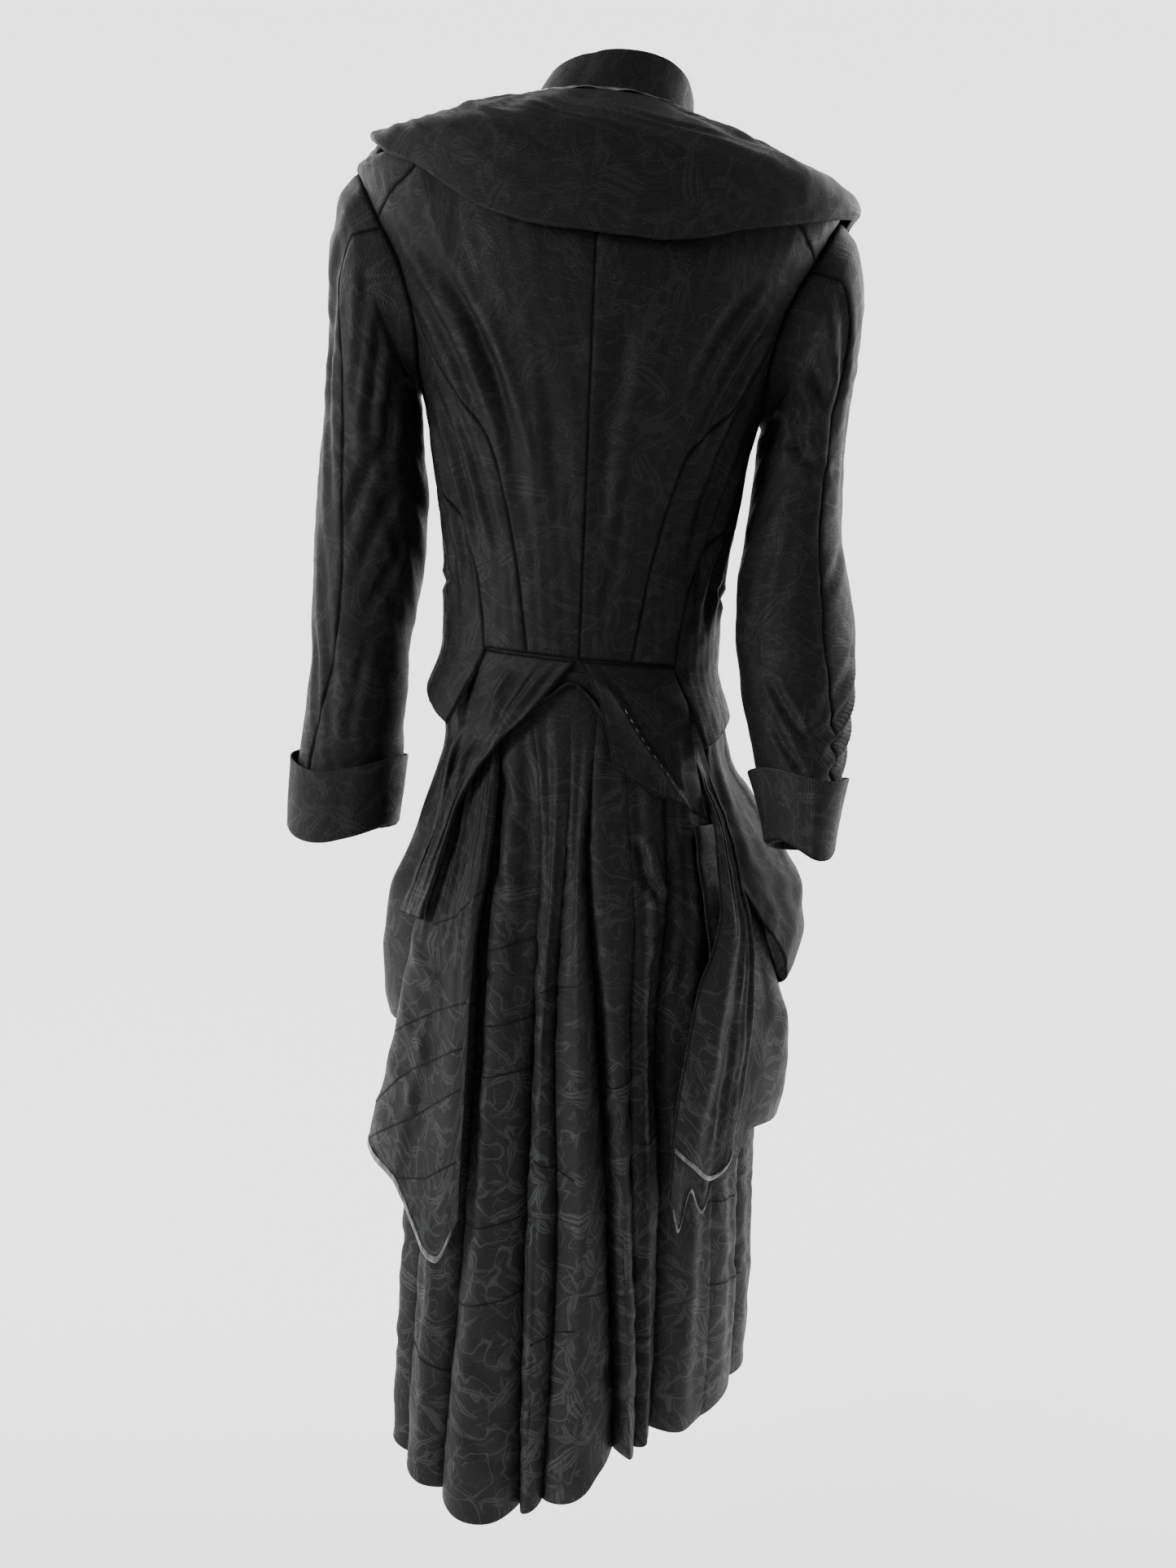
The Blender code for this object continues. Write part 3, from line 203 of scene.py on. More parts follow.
# The seam down the back of the sleeve
ELBOW_SEAM = table("ring turn", (0, 66), (3, 55), (6, 66), (9, 72), (12, 50), (14, 45))
ARM_FRONT_SEAM = -105.0

# Collar: its outer edge over the bodice, and the stand's top edge with the share of its height
# where the collar is sewn on.
COLLAR_EDGE = table(
    "angle level out",
    (-168, -0.226, 0.012),
    (-150, -0.165, 0.014),
    (-125, -0.105, 0.014),
    (-112, -0.058, 0.015),
    (-100, -0.036, 0.015),
    (-85, -0.034, 0.015),
    (-60, -0.050, 0.015),
    (-33, -0.069, 0.017),
    (-10, -0.089, 0.018),
    (8, -0.087, 0.018),
    (20, -0.079, 0.018),
    (38, -0.050, 0.017),
    (60, -0.024, 0.016),
    (80, -0.004, 0.016),
    (98, -0.020, 0.015),
    (112, -0.055, 0.015),
    (125, -0.105, 0.014),
    (150, -0.165, 0.014),
    (168, -0.226, 0.012),
)
STAND = table(
    "angle top seat",
    (-132, 0.010, 0.55),
    (-115, 0.022, 0.62),
    (-90, 0.036, 0.66),
    (-60, 0.055, 0.46),
    (-30, 0.065, 0.32),
    (0, 0.067, 0.28),
    (30, 0.064, 0.36),
    (60, 0.058, 0.58),
    (90, 0.048, 0.70),
    (115, 0.030, 0.62),
    (132, 0.015, 0.55),
)
STAND_TAPER = 0.80  # size of the stand's top over its bottom
STAND_SHIFT = -0.014  # the stand's top leans to the wearer's right

# Grooves between the skirt's hanging folds: the angle of each at five levels, its depth, and how far the
# fold that follows it stands out.
GROOVE_LEVELS = (-0.45, -0.60, -0.75, -0.95, -1.19)
BACK_GROOVES = table(
    "waist hip thigh knee hem depth crest",
    (45.0, 45.0, 42.0, 43.0, 49.0, 0.020, 0.000),
    (22.0, 18.5, 18.5, 19.0, 18.0, 0.026, -0.006),
    (4.0, 8.5, 11.0, 8.5, 10.0, 0.022, 0.000),
    (-7.0, 0.5, -4.0, -9.5, -14.5, 0.034, -0.005),
    (-16.0, -17.5, -15.0, -17.5, -21.5, 0.024, -0.014),
    (-36.0, -34.0, -26.0, -29.0, -28.0, 0.036, -0.012),
)
LEFT_GROOVES = table(
    "waist hip thigh knee hem depth crest",
    (187.0, 187.0, 187.0, 187.0, 187.0, 0.000, 0.000),
    (160.0, 159.0, 160.0, 161.0, 162.0, 0.012, 0.000),
    (138.0, 136.0, 135.0, 137.0, 139.0, 0.016, -0.003),
    (116.0, 113.0, 112.0, 110.0, 108.0, 0.012, 0.000),
    (90.0, 91.0, 92.0, 92.0, 90.0, 0.017, -0.002),
    (66.0, 67.0, 67.0, 66.0, 70.0, 0.013, -0.004),
    (45.0, 45.0, 42.0, 43.0, 49.0, 0.020, 0.000),
)
RIGHT_GROOVES = table(
    "waist hip thigh knee hem depth crest",
    (-36.0, -34.0, -26.0, -29.0, -28.0, 0.036, -0.012),
    (-54.0, -52.0, -48.0, -50.0, -49.0, 0.015, -0.010),
    (-74.0, -72.0, -70.0, -70.0, -72.0, 0.017, -0.005),
    (-95.0, -94.0, -92.0, -93.0, -92.0, 0.012, 0.000),
    (-118.0, -116.0, -114.0, -116.0, -115.0, 0.017, -0.002),
    (-140.0, -139.0, -140.0, -138.0, -141.0, 0.011, 0.000),
    (-162.0, -163.0, -161.0, -162.0, -163.0, 0.013, 0.000),
    (-187.0, -187.0, -187.0, -187.0, -187.0, 0.000, 0.000),
)
HEM = table(
    "angle level",
    (-187, -1.180),
    (-140, -1.176),
    (-85, -1.156),
    (-40, -1.168),
    (-28, -1.160),
    (-21, -1.170),
    (-14, -1.166),
    (0, -1.196),
    (14, -1.206),
    (25, -1.217),
    (36, -1.214),
    (50, -1.204),
    (90, -1.180),
    (140, -1.186),
    (187, -1.184),
)


def slopes(rise):
    """Slopes at the points of a curve from the rises between them: the harmonic mean of the rises on both
    sides, or level where the curve turns, so that it never overshoots."""
    same = rise[:-1] * rise[1:] > 0
    total = np.where(same, rise[:-1] + rise[1:], 1.0)
    inner = np.where(same, 2 * rise[:-1] * rise[1:] / total, 0.0)
    return np.concatenate([rise[:1], inner, rise[-1:]])


def eased(low, high, leave, arrive, t):
    """Cubic from low to high, t from 0 to 1, that leaves and arrives with the given slopes."""
    ends = low * (1 + 2 * t) * (1 - t) ** 2 + high * t * t * (3 - 2 * t)
    return ends + leave * t * (1 - t) ** 2 - arrive * t * t * (1 - t)


def through(x, xs, ys):
    """Smooth curve through the points (xs, ys)."""
    order = np.argsort(xs)
    xs, ys = np.asarray(xs, float)[order], np.asarray(ys, float)[order]
    step = np.diff(xs)
    tangent = slopes(np.diff(ys) / step)
    x = np.clip(np.asarray(x, float), xs[0], xs[-1])
    i = np.clip(np.searchsorted(xs, x) - 1, 0, len(step) - 1)
    t = (x - xs[i]) / step[i]
    return eased(ys[i], ys[i + 1], step[i] * tangent[i], step[i] * tangent[i + 1], t)


def smooth(x, low, high):
    """0 at low, 1 at high, and an even S between them."""
    t = np.clip((np.asarray(x, float) - low) / (high - low), 0, 1)
    return t * t * (3 - 2 * t)


def bell(distance, width):
    """1 at a distance of 0, falling off to both sides within about its width."""
    return np.exp(-((distance / width) ** 2))


def powered(value, exponent):
    """The value to a power, with its sign kept."""
    return np.sign(value) * np.abs(value) ** exponent


def unit(vectors):
    """The vectors at a length of 1."""
    return vectors / np.maximum(np.linalg.norm(vectors, axis=-1, keepdims=True), 1e-12)


def sizes_at(rows, level):
    """Every column of a table at the given levels."""
    return {name: through(level, rows["level"], values) for name, values in rows.items()}


def leaned(x, y, z):
    """The levels rise towards the wearer's left, less and less down the skirt."""
    share = smooth(z, -0.85, -0.45)
    return np.stack(np.broadcast_arrays(x, y, z + SHOULDER_RISE * share * x), -1)


def on_bodice(angle, level):
    """Point on the bodice's outer surface: a rounded-square ring at each level."""
    turn = np.radians(angle)
    size = sizes_at(BODICE, level)
    across = powered(np.sin(turn), 2 / size["power"])
    along = powered(np.cos(turn), 2 / size["power"])
    behind = along > 0
    depth = np.where(behind, size["back"], size["front"])
    end_z = np.where(behind, size["back_z"], size["front_z"])
    z = size["side_z"] + (end_z - size["side_z"]) * np.cos(turn) ** 2
    return leaned(size["half_width"] * across, depth * along, z)


def on_skirt(angle, level, out):
    """Point at a distance out from the skirt's ring of fold crests."""
    turn = np.radians(angle)
    size = sizes_at(SKIRT, level)
    across = (size["half_width"] + out) * np.sin(turn)
    depth = np.where(np.cos(turn) > 0, size["back"], size["front"])
    along = (depth + out) * np.cos(turn) + size["skew"] * across
    return leaned(size["middle"] + across, along, level)


def bodice_normals(angle, level):
    """Unit normals of the bodice's surface, turned outwards."""
    along = on_bodice(angle + 0.5, level) - on_bodice(angle - 0.5, level)
    up = on_bodice(angle, level + 0.001) - on_bodice(angle, level - 0.001)
    normal = unit(np.cross(along, up))
    middle = np.array([0, 0, -0.20])
    return normal * np.sign(np.einsum("...i,...i->...", normal, on_bodice(angle, level) - middle))[..., None]


def mitred_normals(points):
    """Normals at a grid's points, lengthened where the cloth bends so that it keeps its thickness."""
    faces = unit(np.cross(points[1:, 1:] - points[:-1, :-1], points[:-1, 1:] - points[1:, :-1]))
    rows, columns = faces.shape[:2]
    corners = [(slice(a, a + rows), slice(b, b + columns)) for a in (0, 1) for b in (0, 1)]
    around, count, agreement = np.zeros(points.shape), np.zeros(points.shape[:2]), np.zeros(points.shape[:2])
    for corner in corners:
        around[corner] += faces
        count[corner] += 1
    normal = unit(around)
    for corner in corners:
        agreement[corner] += np.einsum("...i,...i->...", faces, normal[corner])
    return normal / np.maximum(agreement / count, 0.5)[..., None]


def armhole(step):
    """Angle and level on the left armhole: step 0 at the shoulder tip, 6 at the back, 12 at the underarm."""
    turn = 2 * np.pi * np.asarray(step, float) / ARMHOLE_STEPS
    half = ARMHOLE_HEIGHT / 2
    level = ARMHOLE_TOP - half + half * np.cos(turn)
    size = sizes_at(BODICE, level)
    behind = np.sin(turn) > 0
    y = np.where(behind, ARMHOLE_BACK, ARMHOLE_FRONT) * np.sin(turn)
    along = powered(y / np.where(behind, size["back"], size["front"]), size["power"] / 2)
    return np.degrees(np.arccos(np.clip(along, -1, 1))), level


def neckline(angle):
    """Level of the neckline at an angle."""
    return through(np.abs(angle), NECKLINE["angle"], NECKLINE["level"])


def front_lap(angle):
    """How far the right front and the right side of the skirt stand out where they cover the left."""
    return FRONT_LAP * smooth(-np.asarray(angle, float), 146, 172)


def seam(rows, step):
    """Angles and levels of a seam, from the waist up to a step of the armhole."""
    end_angle, end_level = armhole(step)
    last = BODY_LEVELS[-1]
    levels = np.concatenate([BODY_LEVELS, last + (end_level - last) * np.array([1, 2, 3]) / 3])
    lead_in = smooth(levels, last, end_level)
    return through(levels, rows["level"], rows["angle"]) * (1 - lead_in) + end_angle * lead_in, levels


def between(start, end, shares):
    """Grid of values that run from start to end, a column for each share."""
    return np.asarray(start)[:, None] * (1 - shares) + np.asarray(end)[:, None] * shares


def raised(low, top, climb):
    """Rows that climb from a low row to a top row, leaving out the low one."""
    return low + (top - low) * np.asarray(climb)[1:, None]


def towards_armhole(angle, level, steps):
    """Bends the three rows above the body levels, so that the last one runs along the armhole."""
    arm_angle, arm_level = armhole(steps)
    angle_change, level_change = arm_angle - angle[-1], arm_level - level[-1]
    for row, share in ((-3, 1 / 3), (-2, 2 / 3), (-1, 1)):
        angle[row] += angle_change * share
        level[row] += level_change * share
    return angle, level


def spread(count):
    """Shares from 0 to 1: close together at both ends, where the cloth rolls into a seam, even between."""
    close = np.array([0, 0.004, 0.010, 0.020])
    return np.concatenate([close, np.linspace(0.04, 0.96, count), 1 - close[::-1]])


def resampled(values, shares, axis):
    """Smooth curves through evenly spaced rows or columns, read at shares of the way along them."""
    nodes = np.moveaxis(np.asarray(values, float), axis, 0)
    tangent = slopes(np.diff(nodes, axis=0))
    at = shares * (len(nodes) - 1)
    i = np.clip(at.astype(int), 0, len(nodes) - 2)
    t = (at - i).reshape((-1,) + (1,) * (nodes.ndim - 1))
    return np.moveaxis(eased(nodes[i], nodes[i + 1], tangent[i], tangent[i + 1], t), 0, axis)


def finer(values, rows, columns):
    """A coarse grid of values read on a finer one."""
    return resampled(resampled(values, spread(rows), 0), spread(columns), 1)


def scaled(rows, across, down):
    """A table of creases with its ends, the first four columns, multiplied by lengths across and down."""
    ends = zip(list(rows)[:4], (across, down, across, down))
    return dict(rows, **{name: rows[name] * size for name, size in ends})


def shouldered(off, shoulder=0.4):
    """A trough or ridge with a low shoulder of the other sign on each side of it."""
    return bell(off, 1) - shoulder * bell(np.abs(off) - 1.9, 0.9)


def creased(x, y, rows):
    """Sum of soft troughs and ridges in metres. Each runs along a line from (x0, y0) to (x1, y1), bent
    sideways by bend at its middle, and fades out at both ends."""
    total = np.zeros(np.broadcast(x, y).shape)
    for x0, y0, x1, y1, width, depth, bend in zip(*rows.values()):
        length = max(np.hypot(x1 - x0, y1 - y0), 1e-6)
        along = ((x - x0) * (x1 - x0) + (y - y0) * (y1 - y0)) / length**2
        aside = ((x - x0) * (y1 - y0) - (y - y0) * (x1 - x0)) / length
        off = (aside - bend * 4 * along * (1 - along)) / width
        total += depth * shouldered(off) * smooth(along, -0.08, 0.3) * (1 - smooth(along, 0.65, 1.08))
    return total


def lengths(points, axis):
    """Distance along the grid's lines from their start."""
    step = np.linalg.norm(np.diff(points, axis=axis), axis=-1)
    start = np.zeros_like(np.take(step, [0], axis))
    return np.concatenate([start, np.cumsum(step, axis)], axis)


def rolled(points, seams):
    """How far into a seam each point lies: a bell in the distance from each edge named in seams."""
    down, across = lengths(points, 0), lengths(points, 1)
    sunk = np.zeros(points.shape[:2])
    distances = {"top": down, "bottom": down[-1:] - down, "start": across, "end": across[:, -1:] - across}
    for edge in seams.split():
        sunk = np.maximum(sunk, bell(distances[edge], ROLL_WIDTH))
    return sunk


def rumple(points, patch, size):
    """Unevenness of worn cloth: crossing waves 17 to 60 mm long in the cloth's own lengths, each of them
    strong in some places and absent in others, at most size metres in all."""
    down, across = lengths(points, 0) + patch[0], lengths(points, 1) + patch[1]
    total = np.zeros(down.shape)
    for turn, wave, place in zip(RUMPLE["turn"], RUMPLE["wave"], RUMPLE["place"]):
        along = down * np.cos(np.radians(turn)) + across * np.sin(np.radians(turn))
        aside = across * np.cos(np.radians(turn)) - down * np.sin(np.radians(turn))
        bend = 0.006 * np.sin(aside * 41 + place)
        where = np.clip(np.sin(aside * 23 + place * 1.7) * np.sin(along * 14 + place * 2.9), 0, 1)
        total += np.sin(2 * np.pi * (along + bend) / wave + place) * where * wave / 0.060
    return size * np.clip(total, -1, 1)


def closed_up(grid, seams, reach):
    """Edges that are sewn to a neighbour reach out towards it, so that no light falls through."""
    for edge in ("top", "bottom", "start", "end"):
        if edge in seams.split():
            lines = grid if edge in ("top", "bottom") else grid.swapaxes(0, 1)
            last, before = (0, 1) if edge in ("top", "start") else (-1, -2)
            lines[last] += unit(lines[last] - lines[before]) * reach
    return grid


def inside_out(points, faces):
    """Whether a closed mesh's faces point inwards: its volume then counts as negative."""
    return np.einsum("ij,ij->", points[faces[:, 0]], np.cross(points[faces[:, 1]], points[faces[:, 2]])) < 0


def finished(name, mesh, finish, sharp=None):
    """The object of a mesh, riding on the body: shaded smooth but for edges sharper than sharp degrees."""
    mesh.shade_smooth()
    if sharp is not None:
        mesh.set_sharp_from_angle(angle=np.radians(sharp))
    mesh.materials.append(FINISH[finish])
    piece = bpy.data.objects.new(name, mesh)
    bpy.context.collection.objects.link(piece)
    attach(piece, "root")
    return piece


def walled(name, outer, inner, uv, closed=False):
    """A thin wall of figured cloth between two grids; closed joins its last column to its first. The points
    of both grids have the cloth coordinates in uv."""
    rows, columns = outer.shape[:2]
    span = columns if closed else columns - 1
    last, end = rows - 1, columns - 1

    def spot(layer, r, c):
        r, c = np.broadcast_arrays(r, c)
        return np.stack([np.full(r.shape, layer), r, c], -1)

    r, c = (a.ravel() for a in np.meshgrid(np.arange(last), np.arange(span), indexing="ij"))
    over = np.stack([spot(0, r, c), spot(0, r + 1, c), spot(0, r + 1, c + 1), spot(0, r, c + 1)], 1)
    under = np.stack([spot(1, r, c), spot(1, r, c + 1), spot(1, r + 1, c + 1), spot(1, r + 1, c)], 1)
    c, r = np.arange(span), np.arange(last)
    top = np.stack([spot(0, 0, c), spot(0, 0, c + 1), spot(1, 0, c + 1), spot(1, 0, c)], 1)
    low = np.stack([spot(0, last, c), spot(1, last, c), spot(1, last, c + 1), spot(0, last, c + 1)], 1)
    parts = [over, under, top, low]
    if not closed:
        parts.append(np.stack([spot(0, r, 0), spot(1, r, 0), spot(1, r + 1, 0), spot(0, r + 1, 0)], 1))
        far = [spot(0, r, end), spot(0, r + 1, end), spot(1, r + 1, end), spot(1, r, end)]
        parts.append(np.stack(far, 1))
    spots = np.concatenate(parts)
    layer, r, c = spots[..., 0], spots[..., 1], spots[..., 2]
    faces = layer * rows * columns + r * columns + c % columns
    place = r * uv.shape[1] + c
    points = np.stack([outer, inner]).reshape(-1, 3)
    if inside_out(points, faces):
        faces, place = faces[:, ::-1], place[:, ::-1]
    mesh = bpy.data.meshes.new(name)
    mesh.from_pydata(points.tolist(), [], faces.tolist())
    layer = mesh.uv_layers.new(name="cloth")
    layer.data.foreach_set("uv", uv.reshape(-1, 2)[place.ravel()].ravel())
    return finished(name, mesh, "figured_cloth", 60)


def cloth_places(loop, patch):
    """Each point's place on the cloth: its length across from the middle column and down from the top, turned
    by the patch's degrees and moved by its lengths."""
    down, across = lengths(loop, 0), lengths(loop, 1)
    turn = np.radians(patch[2])
    u, v = across - across[:, across.shape[1] // 2][:, None], -down.mean(1, keepdims=True) + 0 * across
    turned = [u * np.cos(turn) - v * np.sin(turn), u * np.sin(turn) + v * np.cos(turn)]
    return np.stack(turned, -1) + np.array(patch[:2])


def cut_of(loop):
    """Flat width, length and area of a grid: its longest row, its longest column and the sum of its faces."""
    width, length = lengths(loop, 1)[:, -1].max(), lengths(loop, 0)[-1].max()
    faces = np.cross(loop[1:, 1:] - loop[:-1, :-1], loop[:-1, 1:] - loop[1:, :-1])
    area = np.linalg.norm(faces, axis=-1).sum() / 2
    return width, length, min(area, width * length)


def cloth(
    name,
    points,
    relief,
    seams,
    patch,
    held="hung",
    rests_on=(),
    closed=False,
    outward=None,
    groove=False,
    tuck=None,
):
    """A piece of the figured cloth: a fine shell on the grid, raised by relief, with its edges rolled in.
    patch moves the woven leaves, so that no two pieces are cut from the same place. At a groove the edges
    don't roll in but lean a hair out, to meet the next piece's edge that faces them. tuck moves the top row
    of the shell's inner side, as an allowance that passes under the neighbour."""
    grid = np.concatenate([points[:, -1:], points, points[:, :1]], 1) if closed else points
    normal = mitred_normals(grid)
    normal = normal[:, 1:-1] if closed else normal
    outward = points * [1, 1, 0] if outward is None else outward
    if np.einsum("ijk,ijk->", normal, outward) < 0:
        normal = -normal
    worn = rumple(points, patch, WORN_TAUT if held in ("stretched", "folded") else WORN_LOOSE)
    if closed:
        at = np.linspace(0, 1, points.shape[1])
        worn = worn * np.sin(np.pi * at) ** 0.5
    sunk = rolled(points, seams)
    if groove:
        near = lengths(points, 1)
        near = np.minimum(near, near[:, -1:] - near)
        flat = 1 - bell(near, FLAT_EDGE)
        relief, worn = relief * flat, worn * flat
    outer = points + unit(normal) * (relief + worn + (SEAM_REACH if groove else -ROLL) * sunk)[..., None]
    if not closed:
        outer = closed_up(outer, seams, SEAM_REACH)
    inner = outer - normal * SHELL
    if not (closed or groove):
        inner = closed_up(inner, seams, ALLOWANCE)
    if tuck is not None:
        inner[0] += tuck - UNDER_ROW * unit(normal[0])
    loop = np.concatenate([outer, outer[:, :1]], 1) if closed else outer
    piece = walled(f"{name}_cloth", outer, inner, cloth_places(loop, patch), closed)
    # The seam attribute holds how far each point lies into a seam, and the cloth's material paints shade
    # there from it.
    shade = piece.data.attributes.new("seam", "FLOAT", "POINT")
    shade.data.foreach_set("value", np.concatenate([sunk.ravel(), 0 * sunk.ravel()]))
    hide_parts(name)
    CUTS.append((piece, *cut_of(loop), held, rests_on))
    return outer, unit(normal)


# Materials by name, the cut of every piece of cloth, and the trims listed under each piece
FINISH, CUTS, TRIMS = {}, [], {}
WORN_TAUT = 0.00045  # how uneven the cloth is where it is held smooth
WORN_LOOSE = 0.00085  # and where it hangs
RUMPLE = table(
    "turn wave place",
    (12, 0.060, 0.4),
    (-18, 0.047, 2.1),
    (34, 0.052, 4.4),
    (63, 0.041, 1.2),
    (-52, 0.036, 3.3),
    (88, 0.031, 5.6),
    (-8, 0.026, 0.9),
    (24, 0.021, 2.7),
    (-36, 0.017, 4.9),
)

# Creases of the bodice, seen from outside: ends as signed angle and level, then width, depth and bend.
BODICE_CREASES = table(
    "a0 l0 a1 l1 width depth bend",
    (52, -0.085, 27, -0.225, 0.0065, -0.0032, 0.006),
    (45, -0.080, 24, -0.265, 0.0050, -0.0024, 0.004),
    (57, -0.120, 36, -0.245, 0.0055, -0.0030, 0.003),
    (38, -0.110, 20, -0.330, 0.0060, -0.0020, 0.004),
    (30, -0.150, 17, -0.290, 0.0045, -0.0013, -0.002),
    (50, -0.215, 33, -0.345, 0.0055, -0.0026, 0.003),
    (62, -0.205, 43, -0.330, 0.0060, -0.0034, 0.004),
    (72, -0.215, 50, -0.385, 0.0070, -0.0036, 0.006),
    (84, -0.225, 58, -0.400, 0.0060, -0.0028, 0.006),
    (12, -0.180, 9, -0.300, 0.0060, -0.0011, 0.002),
    (-9, -0.120, -5, -0.345, 0.0065, -0.0022, -0.003),
    (-13, -0.240, -8, -0.400, 0.0050, -0.0013, 0.002),
    (-20, -0.135, -14, -0.240, 0.0060, -0.0014, 0.002),
    (-43, -0.100, -30, -0.215, 0.0060, -0.0028, -0.004),
    (-50, -0.110, -32, -0.285, 0.0050, -0.0026, -0.005),
    (-56, -0.135, -38, -0.260, 0.0050, -0.0030, -0.003),
    (-60, -0.185, -42, -0.330, 0.0060, -0.0036, -0.003),
    (-70, -0.215, -50, -0.365, 0.0060, -0.0038, -0.006),
    (-80, -0.230, -58, -0.395, 0.0070, -0.0034, -0.006),
    (-88, -0.250, -72, -0.400, 0.0060, -0.0026, -0.004),
    (34, -0.388, 6, -0.396, 0.0035, -0.0008, 0.003),
    (-8, -0.372, -30, -0.380, 0.0035, -0.0007, -0.002),
    (60, -0.362, 112, -0.372, 0.0045, -0.0018, 0.004),
    (-64, -0.350, -108, -0.368, 0.0045, -0.0020, -0.005),
    (120, -0.130, 146, -0.235, 0.0070, -0.0026, 0.006),
    (112, -0.175, 134, -0.300, 0.0060, -0.0022, -0.004),
    (106, -0.230, 122, -0.375, 0.0065, -0.0026, 0.004),
    (150, -0.260, 160, -0.390, 0.0060, -0.0016, 0.003),
    (-118, -0.140, -142, -0.250, 0.0065, -0.0026, -0.005),
    (-110, -0.185, -130, -0.315, 0.0060, -0.0024, 0.004),
    (-104, -0.245, -118, -0.380, 0.0070, -0.0026, -0.004),
    (-148, -0.275, -158, -0.395, 0.0055, -0.0015, -0.003),
    (178, -0.285, 150, -0.310, 0.0045, -0.0014, 0.004),
    (-174, -0.345, -148, -0.372, 0.0045, -0.0014, -0.004),
)
# Creases of the sleeves: ends as ring number and turn in degrees, 0 outside and 90 at the back.
LEFT_ARM_CREASES = table(
    "r0 t0 r1 t1 width depth bend",
    (0.8, 60, 6.0, 30, 0.0060, -0.0026, 0.004),
    (0.8, 88, 5.2, 78, 0.0055, -0.0030, -0.004),
    (1.5, 112, 6.4, 98, 0.0065, -0.0044, 0.004),
    (2.5, 132, 7.0, 112, 0.0060, -0.0036, 0.003),
    (3.5, 20, 8.2, 58, 0.0055, -0.0022, -0.004),
    (5.6, 118, 7.8, 72, 0.0055, -0.0034, 0.004),
    (6.6, 130, 8.6, 84, 0.0050, -0.0032, 0.003),
    (7.6, 136, 9.4, 92, 0.0050, -0.0026, -0.003),
    (7.2, 40, 11.5, 78, 0.0060, -0.0022, 0.004),
    (9.2, 24, 12.2, 60, 0.0050, -0.0016, -0.003),
    (9.6, 108, 11.8, 92, 0.0050, -0.0020, 0.002),
    (1.0, -30, 5.0, -60, 0.0065, -0.0026, 0.004),
    (3.0, -10, 8.0, -50, 0.0060, -0.0020, -0.004),
    (6.4, -150, 7.4, -70, 0.0055, -0.0040, 0.006),
    (7.2, -160, 8.4, -84, 0.0050, -0.0036, -0.004),
    (8.2, -150, 9.0, -60, 0.0050, -0.0026, 0.005),
    (10.0, -40, 12.2, -90, 0.0050, -0.0018, 0.003),
)
RIGHT_ARM_CREASES = table(
    "r0 t0 r1 t1 width depth bend",
    (0.9, 72, 5.6, 60, 0.0060, -0.0030, 0.004),
    (1.2, 104, 4.8, 70, 0.0070, -0.0054, -0.006),
    (2.2, 126, 6.0, 104, 0.0065, -0.0040, 0.004),
    (4.6, 120, 6.4, 62, 0.0055, -0.0026, -0.004),
    (2.0, 20, 7.0, 34, 0.0060, -0.0018, 0.003),
    (7.4, 30, 8.6, 78, 0.0050, -0.0022, 0.004),
    (9.0, 20, 10.6, 66, 0.0050, -0.0026, 0.005),
    (9.7, 10, 11.2, 70, 0.0045, -0.0036, 0.006),
    (10.3, 6, 11.7, 74, 0.0042, -0.0044, 0.006),
    (10.9, 2, 12.2, 70, 0.0042, -0.0046, 0.005),
    (11.5, -6, 12.7, 62, 0.0042, -0.0040, 0.004),
    (10.0, 130, 11.6, 80, 0.0045, -0.0036, -0.005),
    (10.8, 136, 12.3, 86, 0.0042, -0.0034, -0.004),
    (6.2, -158, 7.2, -76, 0.0055, -0.0044, 0.006),
    (7.2, -164, 8.2, -88, 0.0050, -0.0040, -0.004),
    (8.1, -154, 9.0, -66, 0.0050, -0.0032, 0.005),
    (9.2, -140, 10.1, -60, 0.0050, -0.0028, -0.004),
    (1.0, -34, 5.2, -66, 0.0065, -0.0026, 0.004),
)
# Creases of the collar: ends as signed angle and share of its depth, 0 at the neck and 1 at the edge.
COLLAR_CREASES = table(
    "a0 s0 a1 s1 width depth bend",
    (52, 0.10, 38, 0.62, 0.0090, 0.0022, 0.006),
    (66, 0.16, 60, 0.70, 0.0080, -0.0026, -0.005),
    (30, 0.14, 20, 0.55, 0.0090, -0.0016, 0.006),
    (8, 0.10, 4, 0.60, 0.0110, -0.0018, 0.003),
    (-24, 0.16, -34, 0.60, 0.0090, -0.0016, -0.005),
    (-46, 0.20, -56, 0.85, 0.0080, -0.0024, 0.004),
    (-66, 0.30, -60, 0.92, 0.0070, -0.0014, 0.003),
    (92, 0.20, 104, 0.80, 0.0090, -0.0026, 0.004),
    (-92, 0.20, -100, 0.85, 0.0090, -0.0026, 0.004),
    (124, 0.15, 134, 0.80, 0.0080, 0.0020, 0.004),
    (-122, 0.15, -136, 0.80, 0.0080, 0.0020, 0.004),
)


def bodice_piece(name, angle, level, rows, columns, side, seams, patch):
    """A bodice panel: its coarse grid of angles and levels read finely and laid on the bodice's surface."""
    angle, level = side * finer(angle, rows, columns), finer(level, rows, columns)
    normal = bodice_normals(angle, level)
    relief = 1.35 * creased(angle * DEGREE, level, scaled(BODICE_CREASES, DEGREE, 1.0))
    points = on_bodice(angle, level) + normal * front_lap(angle)[..., None]
    relief = relief + 0.0003 * np.sin(angle * 0.9 + level * 61) * np.sin(level * 97 - angle * 0.31)
    cloth(name, points, relief, seams, patch, "stretched", outward=normal)


